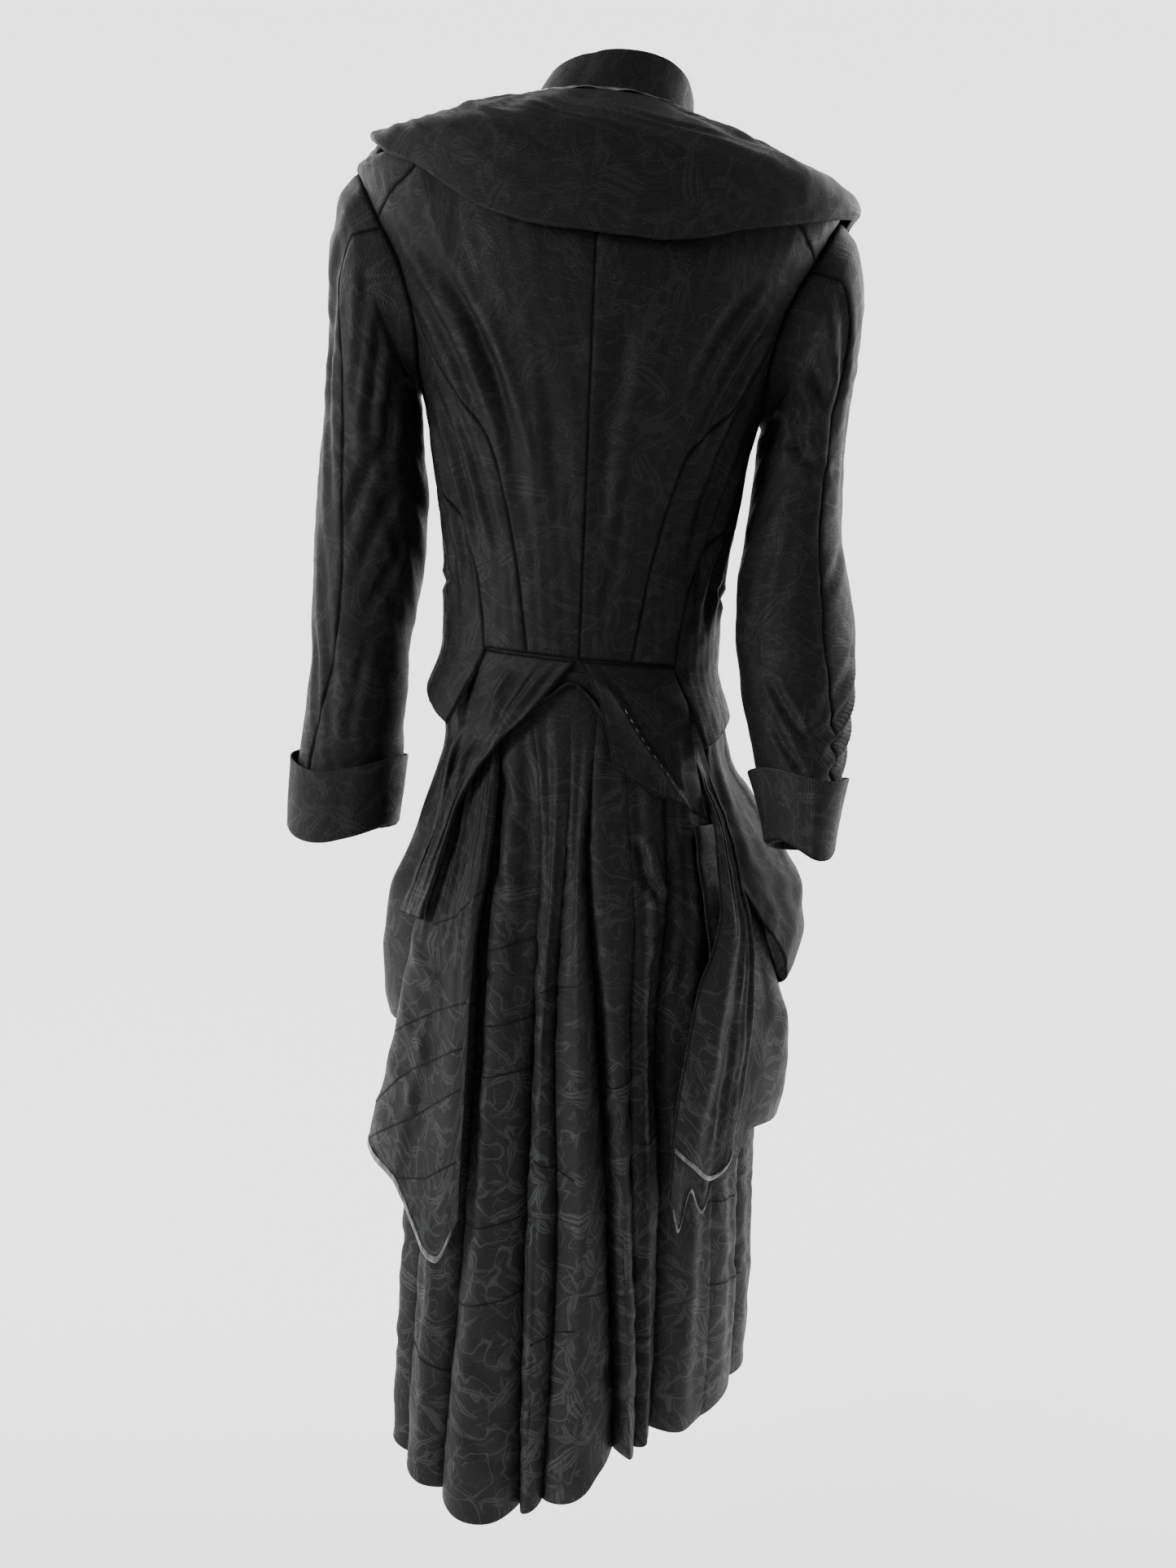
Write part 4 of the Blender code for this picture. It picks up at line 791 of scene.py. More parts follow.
def back(tag, side, patch):
    """Half of the back, from the centre seam to the princess seam, the armhole and the yoke."""
    edge_angle, edge_level = seam(PRINCESS_SEAM, PRINCESS_STEP)
    shares = np.concatenate([np.linspace(0, YOKE_START, 4), np.linspace(YOKE_START, 1, 4)[1:]])
    arm_angle, arm_level = armhole(np.arange(PRINCESS_STEP, YOKE_STEP - 1, -1.0))
    angle = between(np.zeros(len(edge_angle)), edge_angle, shares)
    level = between(edge_level, edge_level, shares)
    top = through(shares, YOKE_SEAM["share"], YOKE_SEAM["level"])
    climb = (arm_level - arm_level[0]) / (arm_level[-1] - arm_level[0])
    angle = np.concatenate([angle, shares * arm_angle[1:, None]])
    level = np.concatenate([level, raised(level[-1], top, climb)])
    bodice_piece(f"back_{tag}", angle, level, 110, 56, side, ALL_ROUND, patch)


def side_back(tag, side, patch):
    """The narrow panel between the two curved back seams."""
    columns = np.linspace(0, 1, 4)
    start, end = seam(PRINCESS_SEAM, PRINCESS_STEP), seam(SIDE_BACK_SEAM, SIDE_STEP)
    angle, level = (between(a, b, columns) for a, b in zip(start, end))
    angle, level = towards_armhole(angle, level, np.linspace(PRINCESS_STEP, SIDE_STEP, 4))
    bodice_piece(f"side_back_{tag}", angle, level, 90, 26, side, ALL_ROUND, patch)


def side_panel(tag, side, patch):
    """The panel under the arm, with the pointed flap that hangs from it below the waist."""
    columns = np.linspace(0, 1, 9)
    start, end = seam(SIDE_BACK_SEAM, SIDE_STEP), seam(SIDE_FRONT_SEAM, FRONT_STEP)
    angle, level = (between(a, b, columns) for a, b in zip(start, end))
    angle, level = towards_armhole(angle, level, np.linspace(SIDE_STEP, FRONT_STEP, 9))
    drop = np.array([1, 0.75, 0.5, 0.25])[:, None]
    bottom = through(columns, [0, 0.1, 0.3, 1], [-0.488, -0.484, -0.474, -0.452])
    flap_angle = angle[0] + (1 - columns) ** 2 * 10.0 * drop
    flap_level = WAIST + (bottom - WAIST) * drop
    angle, level = np.concatenate([flap_angle, angle]), np.concatenate([flap_level, level])
    bodice_piece(f"side_{tag}", angle, level, 90, 60, side, "top start end", patch)


def front(tag, side, patch):
    """The front, from its lapped edge to the side seam; its first columns end on the neckline and the rest on
    the yoke."""
    edge_angle, edge_level = seam(SIDE_FRONT_SEAM, FRONT_STEP)
    arm_angle, arm_level = armhole(np.arange(FRONT_STEP, ARMHOLE_STEPS - YOKE_STEP + 1.0))
    corner = (FRONT_EDGE - YOKE_FRONT) / (FRONT_EDGE - arm_angle[-1])
    shares = np.concatenate([np.linspace(0, corner, 8), np.linspace(corner, 1, 4)[1:]])
    angle = between(np.full(len(edge_angle), FRONT_EDGE), edge_angle, shares)
    level = between(np.linspace(WAIST, -0.330, len(edge_level)), edge_level, shares)
    top_angle = FRONT_EDGE + (arm_angle[-1] - FRONT_EDGE) * shares
    neck_level = neckline(YOKE_FRONT)
    part = np.clip((shares - corner) / (1 - corner), 0, 1)
    yoke_line = neck_level + (arm_level[-1] - neck_level) * yoke_drop(part, 1)
    top = np.where(shares < corner + 1e-9, neckline(top_angle), yoke_line)
    climb = (arm_level - arm_level[0]) / (arm_level[-1] - arm_level[0])
    angle = np.concatenate([angle, FRONT_EDGE + (arm_angle[1:, None] - FRONT_EDGE) * shares])
    level = np.concatenate([level, raised(level[-1], top, climb)])
    bodice_piece(f"front_{tag}", angle, level, 90, 70, side, ALL_ROUND, patch)


def yoke(tag, side, patch):
    """The shoulder yoke, over the top of the armhole."""
    along = np.linspace(0, 1, 4)[None, :]
    across = np.linspace(0, 1, 2 * YOKE_STEP + 1)[:, None]
    arm_angle, arm_level = armhole(YOKE_STEP - 2 * YOKE_STEP * across)
    back_corner = YOKE_START * armhole(YOKE_STEP)[0]
    neck_angle = back_corner + (YOKE_FRONT - back_corner) * across
    angle = neck_angle + (arm_angle - neck_angle) * along
    level = neckline(neck_angle) + (arm_level - neckline(neck_angle)) * yoke_drop(along, across)
    bodice_piece(f"yoke_{tag}", angle, level, 50, 36, side, ALL_ROUND, patch)


def yoke_drop(along, across):
    """How far down a yoke line is, 0 at the neck to 1 at the armhole; across is 0 on the back's seam."""
    seam_level = through(YOKE_START + (1 - YOKE_START) * along, YOKE_SEAM["share"], YOKE_SEAM["level"])
    return (NECK - seam_level) / (NECK - YOKE_SEAM["level"][-1]) * (1 - across) + along * across


def sleeve_point(side, rows, ring, turn, swell):
    """Point on a sleeve at a ring's number and a turn round it: 0 outside, 90 at the back."""
    ring, turn, swell = (np.asarray(value, float) for value in np.broadcast_arrays(ring, turn, swell))
    number = np.arange(len(rows["y"]))
    size = {name: through(np.maximum(ring, 1), number, values) for name, values in rows.items()}
    cosine, sine = np.cos(np.radians(turn)), np.sin(np.radians(turn))
    middle = np.stack([size["outer_x"] + size["inner_x"], size["outer_z"] + size["inner_z"]], -1) / 2
    reach = np.stack([size["outer_x"] - size["inner_x"], size["outer_z"] - size["inner_z"]], -1) / 2
    length = np.linalg.norm(reach, axis=-1)
    spot = middle + reach * (cosine * (1 + swell / length))[..., None]
    y = (size["half_depth"] + swell) * sine
    point = np.stack([side * spot[..., 0], size["y"] + y, spot[..., 1] + size["nod"] * y], -1)
    angle, level = armhole(turn * ARMHOLE_STEPS / 360)
    start = on_bodice(side * angle, level) + [side * ARM_GAP, 0, 0]
    share = np.clip(1 - ring, 0, 1)[..., None]
    return point * (1 - share) + start * share


def arm(tag, side, rows, creases, patch):
    """Upper and under sleeve; creases placed by ring and turn, with a faint swell between them."""
    last = len(rows["y"]) - 1.0
    ring = (spread(128) * last)[:, None]
    front, back = ARM_FRONT_SEAM, through(ring, ELBOW_SEAM["ring"], ELBOW_SEAM["turn"])
    around = spread(52)
    near = scaled(creases, SLEEVE_RING, SLEEVE_DEGREE)
    tuck = np.array([-side * TUCK, 0, 0])
    pieces = (("upper", front + (back - front) * around), ("under", back + (front + 360 - back) * around))
    for number, (part, turn) in enumerate(pieces):
        points = sleeve_point(side, rows, ring, turn, 0.0)
        signed = (turn + 180) % 360 - 180
        relief = creased(ring * SLEEVE_RING, signed * SLEEVE_DEGREE, near) * smooth(ring, 0.2, 1.2)
        relief = relief + 0.0005 * np.sin(turn * 0.06 + ring * 1.3) * np.sin(ring * 2.1 - turn * 0.03)
        middle = sleeve_point(side, rows, ring, 0.0, 0.0) + sleeve_point(side, rows, ring, 180.0, 0.0)
        cloth(
            f"sleeve_{part}_{tag}",
            points,
            relief,
            "top start end",
            patch + [0.6 * number, 0.2, 0],
            rests_on=[f"yoke_{tag}"],
            outward=points - middle / 2,
            tuck=tuck,
        )


def cuff(tag, side, rows, patch):
    """Turned-back cuff: its top edge stands off the sleeve in a slow wave, and both edges dip at the back."""
    turn = np.linspace(0, 360, 121)[None, :-1]
    behind = np.clip(np.cos(np.radians(turn - 68)), 0, 1) ** 2
    last = len(rows["y"]) - 1.0
    top, bottom = last - 2.10 + 0.30 * behind, last - 0.12 + 0.12 * behind
    down = spread(24)[:, None]
    stand_off = through(down, [0, 0.12, 0.5, 1.0], [0.0072, 0.0062, 0.0040, 0.0026])
    stand_off = stand_off + 0.0012 * np.sin(np.radians(turn * 3 + 40 * side)) * (1 - down) ** 2
    along = unit(sleeve_point(side, rows, last, turn, 0.0) - sleeve_point(side, rows, last - 1, turn, 0.0))
    points = sleeve_point(side, rows, top + (bottom - top) * down, turn, stand_off)
    points = points + 0.016 * along * (behind * down**4)[..., None]
    dents = -0.0012 * bell(turn - 95, 9) - 0.0010 * bell(turn - 30, 12) * (1 - down)
    cloth(
        f"cuff_{tag}",
        points,
        dents,
        "bottom",
        patch,
        "folded",
        [f"sleeve_under_{tag}"],
        closed=True,
        outward=points - points.mean(1, keepdims=True),
    )


def stand_point(angle, share):
    """Point on the collar stand's outer face: share 0 at the neckline, 1 at its top edge."""
    low = on_bodice(angle, neckline(angle)) + [0, 0, 0.001]
    top_z = through(angle, STAND["angle"], STAND["top"])
    size = 1 - (1 - STAND_TAPER) * share
    x = low[..., 0] * size + STAND_SHIFT * share
    y = low[..., 1] * size
    return np.stack([x, y, low[..., 2] + (top_z - low[..., 2]) * share], -1)


def collar_stand():
    """The band round the neck, with a dent on each side of its back."""
    angle, share = (STAND_END * (2 * spread(110) - 1))[None, :], spread(20)[:, None]
    points = stand_point(angle, share)
    relief = -0.0010 * bell(angle - 22, 5) - 0.0008 * bell(angle + 30, 7) + 0 * share
    patch, rests_on = np.array([5.1, 0.3, 4]), ["back_left", "back_right"]
    cloth("collar_stand", points, relief, "top", patch, "stretched", rests_on)


def cape_collar():
    """The collar from its neck edge over the shoulders to a soft fold along its outer edge, laid out as the
    solid is."""
    angle = COLLAR_END * (2 * spread(200) - 1)
    lap = front_lap(angle)[:, None]
    seat = through(angle, STAND["angle"], STAND["seat"])
    on_stand = stand_point(np.clip(angle, -STAND_END, STAND_END), seat)
    sideways = unit(on_stand * [1, 1, 0])
    neck_level = neckline(angle) - COLLAR_LAP
    forward = smooth(np.abs(angle), STAND_END - 32, STAND_END - 2)[:, None]
    off_front = bodice_normals(angle, neck_level) * (COLLAR_REST + lap)
    in_front = on_bodice(angle, neck_level) + off_front
    neck = (on_stand + sideways * STAND_CLEAR) * (1 - forward) + in_front * forward
    edge_level = through(angle, COLLAR_EDGE["angle"], COLLAR_EDGE["level"])
    edge_out = through(angle, COLLAR_EDGE["angle"], COLLAR_EDGE["out"])[:, None] + lap
    edge_normal = bodice_normals(angle, edge_level)
    edge = on_bodice(angle, edge_level) + edge_normal * edge_out
    share = np.concatenate([[0, 0.006, 0.015, 0.03], np.linspace(0.06, 0.95, 52), [0.975, 1]])[:, None, None]
    lift = through(np.abs(angle), [0, 45, 80, 180], [0.012, 0.006, 0.003, 0.005])[:, None]
    level = neck_level + (edge_level - neck_level) * share[..., 0]
    out = (COLLAR_REST + lap) * (1 - share) + edge_out * share + lift * 4 * share * (1 - share)
    at_tip = bell(level + 0.033, 0.022) * smooth(np.abs(angle), 60, 92) * smooth(share[..., 0], 0, 0.2)
    laid = on_bodice(angle, level) + bodice_normals(angle, level) * (out + 0.005 * at_tip[..., None])
    body = laid + (neck - laid[0]) * (1 - share) ** 1.5
    outward = unit(body[-1] - body[-3])
    below = unit(np.cross(np.gradient(edge, axis=0), outward))
    below = below * -np.sign(np.einsum("ij,ij->i", below, edge_normal))[:, None]
    turn = np.radians(np.linspace(18, 150, 9))[:, None, None]
    fold = edge + (outward * np.sin(turn) + below * (1 - np.cos(turn))) * COLLAR_FOLD / 2
    points = np.concatenate([body, fold])
    creases = scaled(COLLAR_CREASES, COLLAR_DEGREE, COLLAR_DEPTH)
    shown = np.concatenate([share[:, 0], np.ones((9, 1))])
    relief = creased(angle[None, :] * COLLAR_DEGREE, shown * COLLAR_DEPTH, creases)
    relief = relief * smooth(shown, 0, 0.15) * (1 - smooth(shown, 0.9, 1))
    outer, normal = cloth(
        "collar",
        points,
        relief,
        "start end",
        np.array([6.3, 0.9, 10]),
        "draped",
        ["collar_stand"],
        outward=points - [0, 0, -0.3],
    )
    strip, lift = outer[:4, 18:-18], normal[:4, 18:-18]
    inward = unit(strip[3] - strip[0])
    ribbon("binding_collar", strip[0], inward, lift[0], COLLAR_SATIN, FLAT_SATIN, "collar", wrap=False)


ON_SIDES = ("side_left", "side_right")


def hung(name, angle, level, out, relief, seams, patch, held="hung", rests_on=ON_SIDES, groove=False):
    """A piece that hangs round the skirt's ring, from grids of its angles, levels and distances out."""
    points = on_skirt(angle, level, out)
    return cloth(name, points, relief, seams, np.array(patch), held, rests_on, groove=groove)


# Second folds inside the skirt's main ones: which fold of the piece, where across it at the top and the foot
# (0 and 1 are the grooves), the levels where it runs, and its width, as a share of the fold, and depth.
BACK_PLEATS = table(
    "fold top foot high low width depth",
    (0, 0.24, 0.20, -0.47, -1.02, 0.085, -0.0050),
    (0, 0.52, 0.60, -0.60, -1.22, 0.110, -0.0026),
    (0, 0.80, 0.84, -0.45, -0.80, 0.070, -0.0040),
    (1, 0.35, 0.50, -0.44, -1.22, 0.120, -0.0045),
    (1, 0.76, 0.70, -0.50, -0.95, 0.090, -0.0030),
    (2, 0.42, 0.30, -0.46, -1.22, 0.110, -0.0030),
    (2, 0.72, 0.62, -0.76, -1.22, 0.090, -0.0026),
    (3, 0.55, 0.40, -0.44, -1.22, 0.140, -0.0028),
    (3, 0.20, 0.74, -0.80, -1.20, 0.100, -0.0026),
    (4, 0.28, 0.34, -0.50, -1.00, 0.080, -0.0056),
    (4, 0.62, 0.70, -0.56, -1.20, 0.100, -0.0048),
)
LEFT_PLEATS = table(
    "fold top foot high low width depth",
    (0, 0.42, 0.50, -0.43, -1.10, 0.10, -0.0030),
    (1, 0.30, 0.40, -0.46, -1.20, 0.09, -0.0030),
    (1, 0.70, 0.66, -0.43, -0.90, 0.08, -0.0026),
    (2, 0.55, 0.40, -0.50, -1.20, 0.10, -0.0036),
    (3, 0.36, 0.46, -0.43, -1.20, 0.09, -0.0034),
    (3, 0.74, 0.70, -0.70, -1.20, 0.08, -0.0024),
    (4, 0.50, 0.36, -0.43, -1.20, 0.10, -0.0036),
    (5, 0.34, 0.42, -0.80, -1.20, 0.08, -0.0032),
    (5, 0.68, 0.76, -0.70, -1.16, 0.07, -0.0028),
)
RIGHT_PLEATS = table(
    "fold top foot high low width depth",
    (0, 0.40, 0.30, -0.50, -1.16, 0.10, -0.0040),
    (0, 0.76, 0.70, -0.80, -1.16, 0.08, -0.0030),
    (1, 0.50, 0.60, -0.80, -1.16, 0.10, -0.0036),
    (2, 0.34, 0.44, -0.85, -1.16, 0.09, -0.0030),
    (3, 0.60, 0.46, -0.50, -1.16, 0.10, -0.0034),
    (4, 0.40, 0.52, -0.43, -1.16, 0.09, -0.0034),
    (4, 0.76, 0.72, -0.60, -1.00, 0.08, -0.0024),
    (5, 0.44, 0.36, -0.43, -1.16, 0.10, -0.0030),
    (6, 0.52, 0.60, -0.43, -1.16, 0.10, -0.0026),
)
# Creases across the skirt: ends as angle and level, then width, depth and bend. The five that end at the
# angles -31 and -32 gather to a knot of cloth in the deep groove on the right.
SKIRT_CREASES = table(
    "a0 l0 a1 l1 width depth bend",
    (44, -0.520, 24, -0.580, 0.0060, -0.0022, 0.004),
    (42, -0.560, 26, -0.655, 0.0060, -0.0022, -0.004),
    (40, -0.700, 22, -0.722, 0.0050, -0.0018, 0.005),
    (38, -0.820, 24, -0.870, 0.0060, -0.0016, -0.004),
    (40, -0.900, 24, -0.900, 0.0060, -0.0014, 0.006),
    (39, -1.050, 22, -1.090, 0.0070, -0.0018, 0.005),
    (34, -1.120, 20, -1.170, 0.0060, -0.0014, -0.004),
    (14, -0.700, 6, -0.730, 0.0050, -0.0014, 0.003),
    (12, -0.860, 2, -0.905, 0.0060, -0.0016, 0.003),
    (-2, -0.960, -12, -0.930, 0.0060, -0.0018, -0.003),
    (-4, -1.060, -14, -1.100, 0.0060, -0.0016, 0.003),
    (-20, -0.560, -31, -0.632, 0.0050, 0.0044, 0.003),
    (-18, -0.600, -31, -0.638, 0.0045, -0.0046, 0.003),
    (-19, -0.655, -31, -0.642, 0.0045, 0.0040, -0.003),
    (-21, -0.700, -31, -0.646, 0.0050, -0.0040, -0.004),
    (-24, -0.750, -32, -0.655, 0.0055, 0.0034, -0.003),
    (-60, -0.930, -88, -0.955, 0.0070, -0.0020, 0.006),
    (-56, -1.000, -84, -1.030, 0.0070, -0.0018, -0.006),
    (-40, -0.960, -60, -0.985, 0.0060, -0.0018, 0.004),
    (60, -0.960, 84, -1.000, 0.0070, -0.0020, -0.006),
    (58, -1.060, 88, -1.090, 0.0070, -0.0016, 0.006),
    (112, -0.620, 140, -0.660, 0.0070, -0.0018, 0.006),
    (-112, -0.640, -142, -0.690, 0.0070, -0.0018, -0.006),
    (126, -0.930, 158, -0.960, 0.0070, -0.0014, 0.006),
    (-122, -0.900, -156, -0.950, 0.0070, -0.0014, -0.006),
)


def skirt(name, grooves, pleats, patch, per_fold):
    """Part of the skirt between its first and last grooves; each fold rounds out between two of them and
    carries the second folds of its table."""
    folds = len(grooves["depth"]) - 1
    inside = 0.5 - 0.5 * np.cos(np.pi * np.arange(per_fold) / per_fold)
    number = np.concatenate([i + inside for i in range(folds)] + [[folds]])
    number = np.unique(np.concatenate([number, [0.02, 0.05, folds - 0.05, folds - 0.02]]))
    first = np.minimum(number.astype(int), folds - 1)
    part = number - first
    lines = np.array([grooves[line] for line in ("waist", "hip", "thigh", "knee", "hem")])
    hem_angle = lines[-1][first] * (1 - part) + lines[-1][first + 1] * part
    hem_level = through(hem_angle, HEM["angle"], HEM["level"])
    level = SKIRT_TOP + (hem_level - SKIRT_TOP) * spread(150)[:, None]
    columns = range(len(number))
    start = np.stack([through(level[:, c], GROOVE_LEVELS, lines[:, first[c]]) for c in columns], 1)
    end = np.stack([through(level[:, c], GROOVE_LEVELS, lines[:, first[c] + 1]) for c in columns], 1)
    angle = start * (1 - part) + end * part
    depth = grooves["depth"][first] * (1 - part) + grooves["depth"][first + 1] * part
    fullness = np.sin(np.pi * part) ** 0.75
    grown = smooth(-level, 0.43, 0.80)
    out = grown * (grooves["crest"][first] * fullness - depth * (1 - fullness)) + front_lap(angle)
    relief = np.zeros(level.shape)
    for fold, top, foot, high, low, width, deep in zip(*pleats.values()):
        at = top + (foot - top) * smooth(-level, -high, -low) + 0.03 * np.sin(level * 19 + fold * 2.3)
        off = (part - at) / (1.6 * width)
        fade = smooth(-level, -high, -high + 0.10) * (1 - smooth(-level, -low - 0.12, -low + 0.03))
        relief += 0.85 * deep * shouldered(off, 0.35) * fade * (first == fold)
    relief += creased(angle * SKIRT_DEGREE, level, scaled(SKIRT_CREASES, SKIRT_DEGREE, 1.0))
    relief += 0.0006 * np.sin(level * 47 + angle * 0.21) * np.sin(level * 29 - angle * 0.13) * grown
    highest = 0.0045 * smooth(-level, 0.5, 0.56) if name == "skirt_back" else 0.0002  # under the drapes
    relief = np.minimum(relief, highest)
    outer, normal = hung(name, angle, level, out, relief, "start end", patch, "gathered", groove=True)
    return angle, level, outer, normal


# Joins sewn across the skirt: each from one angle and level to another
BACK_JOINS = (
    ((40.5, -0.686), (18.0, -0.664)),
    ((41.5, -0.752), (18.0, -0.736)),
    ((38.2, -0.796), (18.8, -0.782)),
    ((42.0, -0.938), (20.5, -0.922)),
    ((41.5, -1.010), (19.8, -0.994)),
    ((16.5, -0.712), (3.5, -0.700)),
    ((16.5, -0.866), (2.5, -0.880)),
    ((15.5, -1.040), (1.0, -1.022)),
    ((-1.5, -0.802), (-15.5, -0.790)),
    ((-1.5, -0.988), (-15.0, -1.002)),
    ((-18.5, -0.858), (-33.0, -0.842)),
    ((-19.0, -1.052), (-34.0, -1.038)),
)
LEFT_JOINS = (
    ((64.0, -1.066), (46.0, -1.084)),
    ((112.0, -0.842), (88.0, -0.850)),
    ((150.0, -1.030), (118.0, -1.044)),
)
RIGHT_JOINS = (
    ((-48.0, -1.020), (-74.0, -1.036)),
    ((-46.0, -0.930), (-64.0, -0.938)),
    ((-96.0, -1.000), (-122.0, -1.010)),
    ((-120.0, -0.780), (-146.0, -0.800)),
)


def hanging(edges, hang, rows, columns):
    """Shares and positions over a piece whose edges run down it and whose top and bottom run across it."""
    down, across = np.meshgrid(spread(rows), spread(columns), indexing="ij")
    start = through(down, edges["down"], edges["start"])
    end = through(down, edges["down"], edges["end"])
    top = through(across, hang["across"], hang["top"])
    bottom = through(across, hang["across"], hang["bottom"])
    return down, across, start + (end - start) * across, top + (bottom - top) * down


def hang_from(top, *bottoms):
    """A piece's levels: the top where it is caught in, and its bottom at shares of the way across it."""
    return table("across top bottom", *((across, top, bottom) for across, bottom in bottoms))


# Levels where the hanging pieces are caught in
UNDER_WAIST = -0.4225
INSIDE_SWAG = -0.432
INSIDE_FLAP = -0.446


def centre_facing():
    """The short facing that shows between the two swags below the waist."""
    edges = table("down start end", (0, 20.0, -8.5), (1, 20.5, -8.5))
    hang = hang_from(INSIDE_SWAG, (0, -0.469), (0.30, -0.456), (0.62, -0.443), (1, -0.471))
    down, _, angle, level = hanging(edges, hang, 26, 60)
    relief = 0.0016 * bell(down - 0.86, 0.10) - 0.0009 * bell(down - 0.66, 0.08)
    out = 0.0026 + 0.003 * smooth(down, 0.6, 1.0)
    hung("centre_facing", angle, level, out, relief, "bottom", (9.1, 0.4, 15))


# Creases of the hanging pieces: ends as shares across and down the piece, then width, depth and bend.
SWAG_CREASES = table(
    "x0 y0 x1 y1 width depth bend",
    (0.20, 0.02, 0.10, 0.34, 0.050, 0.0034, 0.03),
    (0.40, 0.01, 0.26, 0.40, 0.034, -0.0026, 0.03),
    (0.55, 0.01, 0.44, 0.50, 0.052, 0.0038, 0.03),
    (0.74, 0.02, 0.66, 0.44, 0.030, -0.0026, 0.02),
    (0.88, 0.01, 0.84, 0.62, 0.044, 0.0036, 0.02),
    (0.20, 0.24, 0.30, 0.98, 0.060, 0.0030, 0.03),
    (0.48, 0.34, 0.52, 1.00, 0.046, -0.0026, -0.03),
    (0.76, 0.44, 0.78, 1.00, 0.056, 0.0026, 0.02),
)


def swag_left():
    """The swag that sweeps from the centre of the waist out over the left hip."""
    edges = table(
        "down start end",
        (0.0, 1.5, 40.0),
        (0.12, 12.5, 47.0),
        (0.22, 22.0, 55.0),
        (0.32, 33.0, 59.0),
        (0.44, 43.0, 63.0),
        (0.60, 51.0, 65.0),
        (0.80, 55.0, 70.0),
        (1.0, 57.0, 75.0),
    )
    hang = hang_from(UNDER_WAIST, (0, -0.662), (1, -0.668))
    down, across, angle, level = hanging(edges, hang, 90, 64)
    ripple = 0.0028 * np.sin(2 * np.pi * (2.2 * across + 0.15)) * smooth(down, 0.02, 0.3)
    ripple = ripple * (1 - 0.7 * smooth(down, 0.5, 1))
    out = through(down, [0, 0.08, 0.4, 0.8, 1], [0.0022, 0.0095, 0.0150, 0.0215, 0.0240]) + ripple
    depths = [-UNDER_WAIST, 0.440, 0.458, 0.475, 0.490]
    tucked = through(-level, depths, [0.0022, 0.0046, 0.0064, 0.0085, 0.0100])
    out = out + (tucked - out) * smooth(angle, 33, 41) * (1 - smooth(-level, 0.485, 0.52))
    under_flap = smooth(angle, 30, 38) * (1 - smooth(-level, 0.49, 0.53))
    relief = np.maximum(creased(across, down, SWAG_CREASES), -0.0012)
    relief = relief * smooth(down, 0.01, 0.05) * (1 - under_flap)
    patch = (10.2, 0.7, -32)
    hung("swag_left", angle, level, out, relief, ALL_ROUND, patch, rests_on=("back_left",))


def swag_right():
    """The short swag on the right, with a ridge down it and basting beside the ridge."""
    edges = table(
        "down start end", (0, -0.5, -41.0), (0.1, -4.0, -43.0), (0.42, -7.5, -46.0), (1, -11.2, -50.0)
    )
    hang = hang_from(UNDER_WAIST, (0, -0.508), (0.35, -0.526), (0.75, -0.541), (1, -0.554))
    down, across, angle, level = hanging(edges, hang, 70, 80)
    ridge_at = through(down, [0, 0.5, 1], [0.06, 0.25, 0.70])
    ridge = bell(across - ridge_at, 0.10)
    sharp = np.exp(-np.abs(across - ridge_at) / 0.022)
    out = 0.0030 + 0.0085 * smooth(down, 0, 0.30) + 0.0035 * ridge * smooth(down, 0.02, 0.3)
    relief = (0.0012 * sharp - 0.0008 * bell(across - ridge_at - 0.12, 0.03)) * smooth(down, 0.05, 0.3)
    relief += 0.0014 * bell(across - 0.80 + 0.1 * down, 0.05) * smooth(down, 0.2, 0.6)
    patch = (11.6, 0.2, 24)
    outer, normal = hung("swag_right", angle, level, out, relief, ALL_ROUND, patch, rests_on=("back_right",))
    i = np.arange(24, len(across) - 5)
    j = np.argmin(np.abs(across[i] - ridge_at[i, :1] - 0.035), axis=1)
    stitches("basting_swag_right", "swag_right", outer[i, j], normal[i, j])


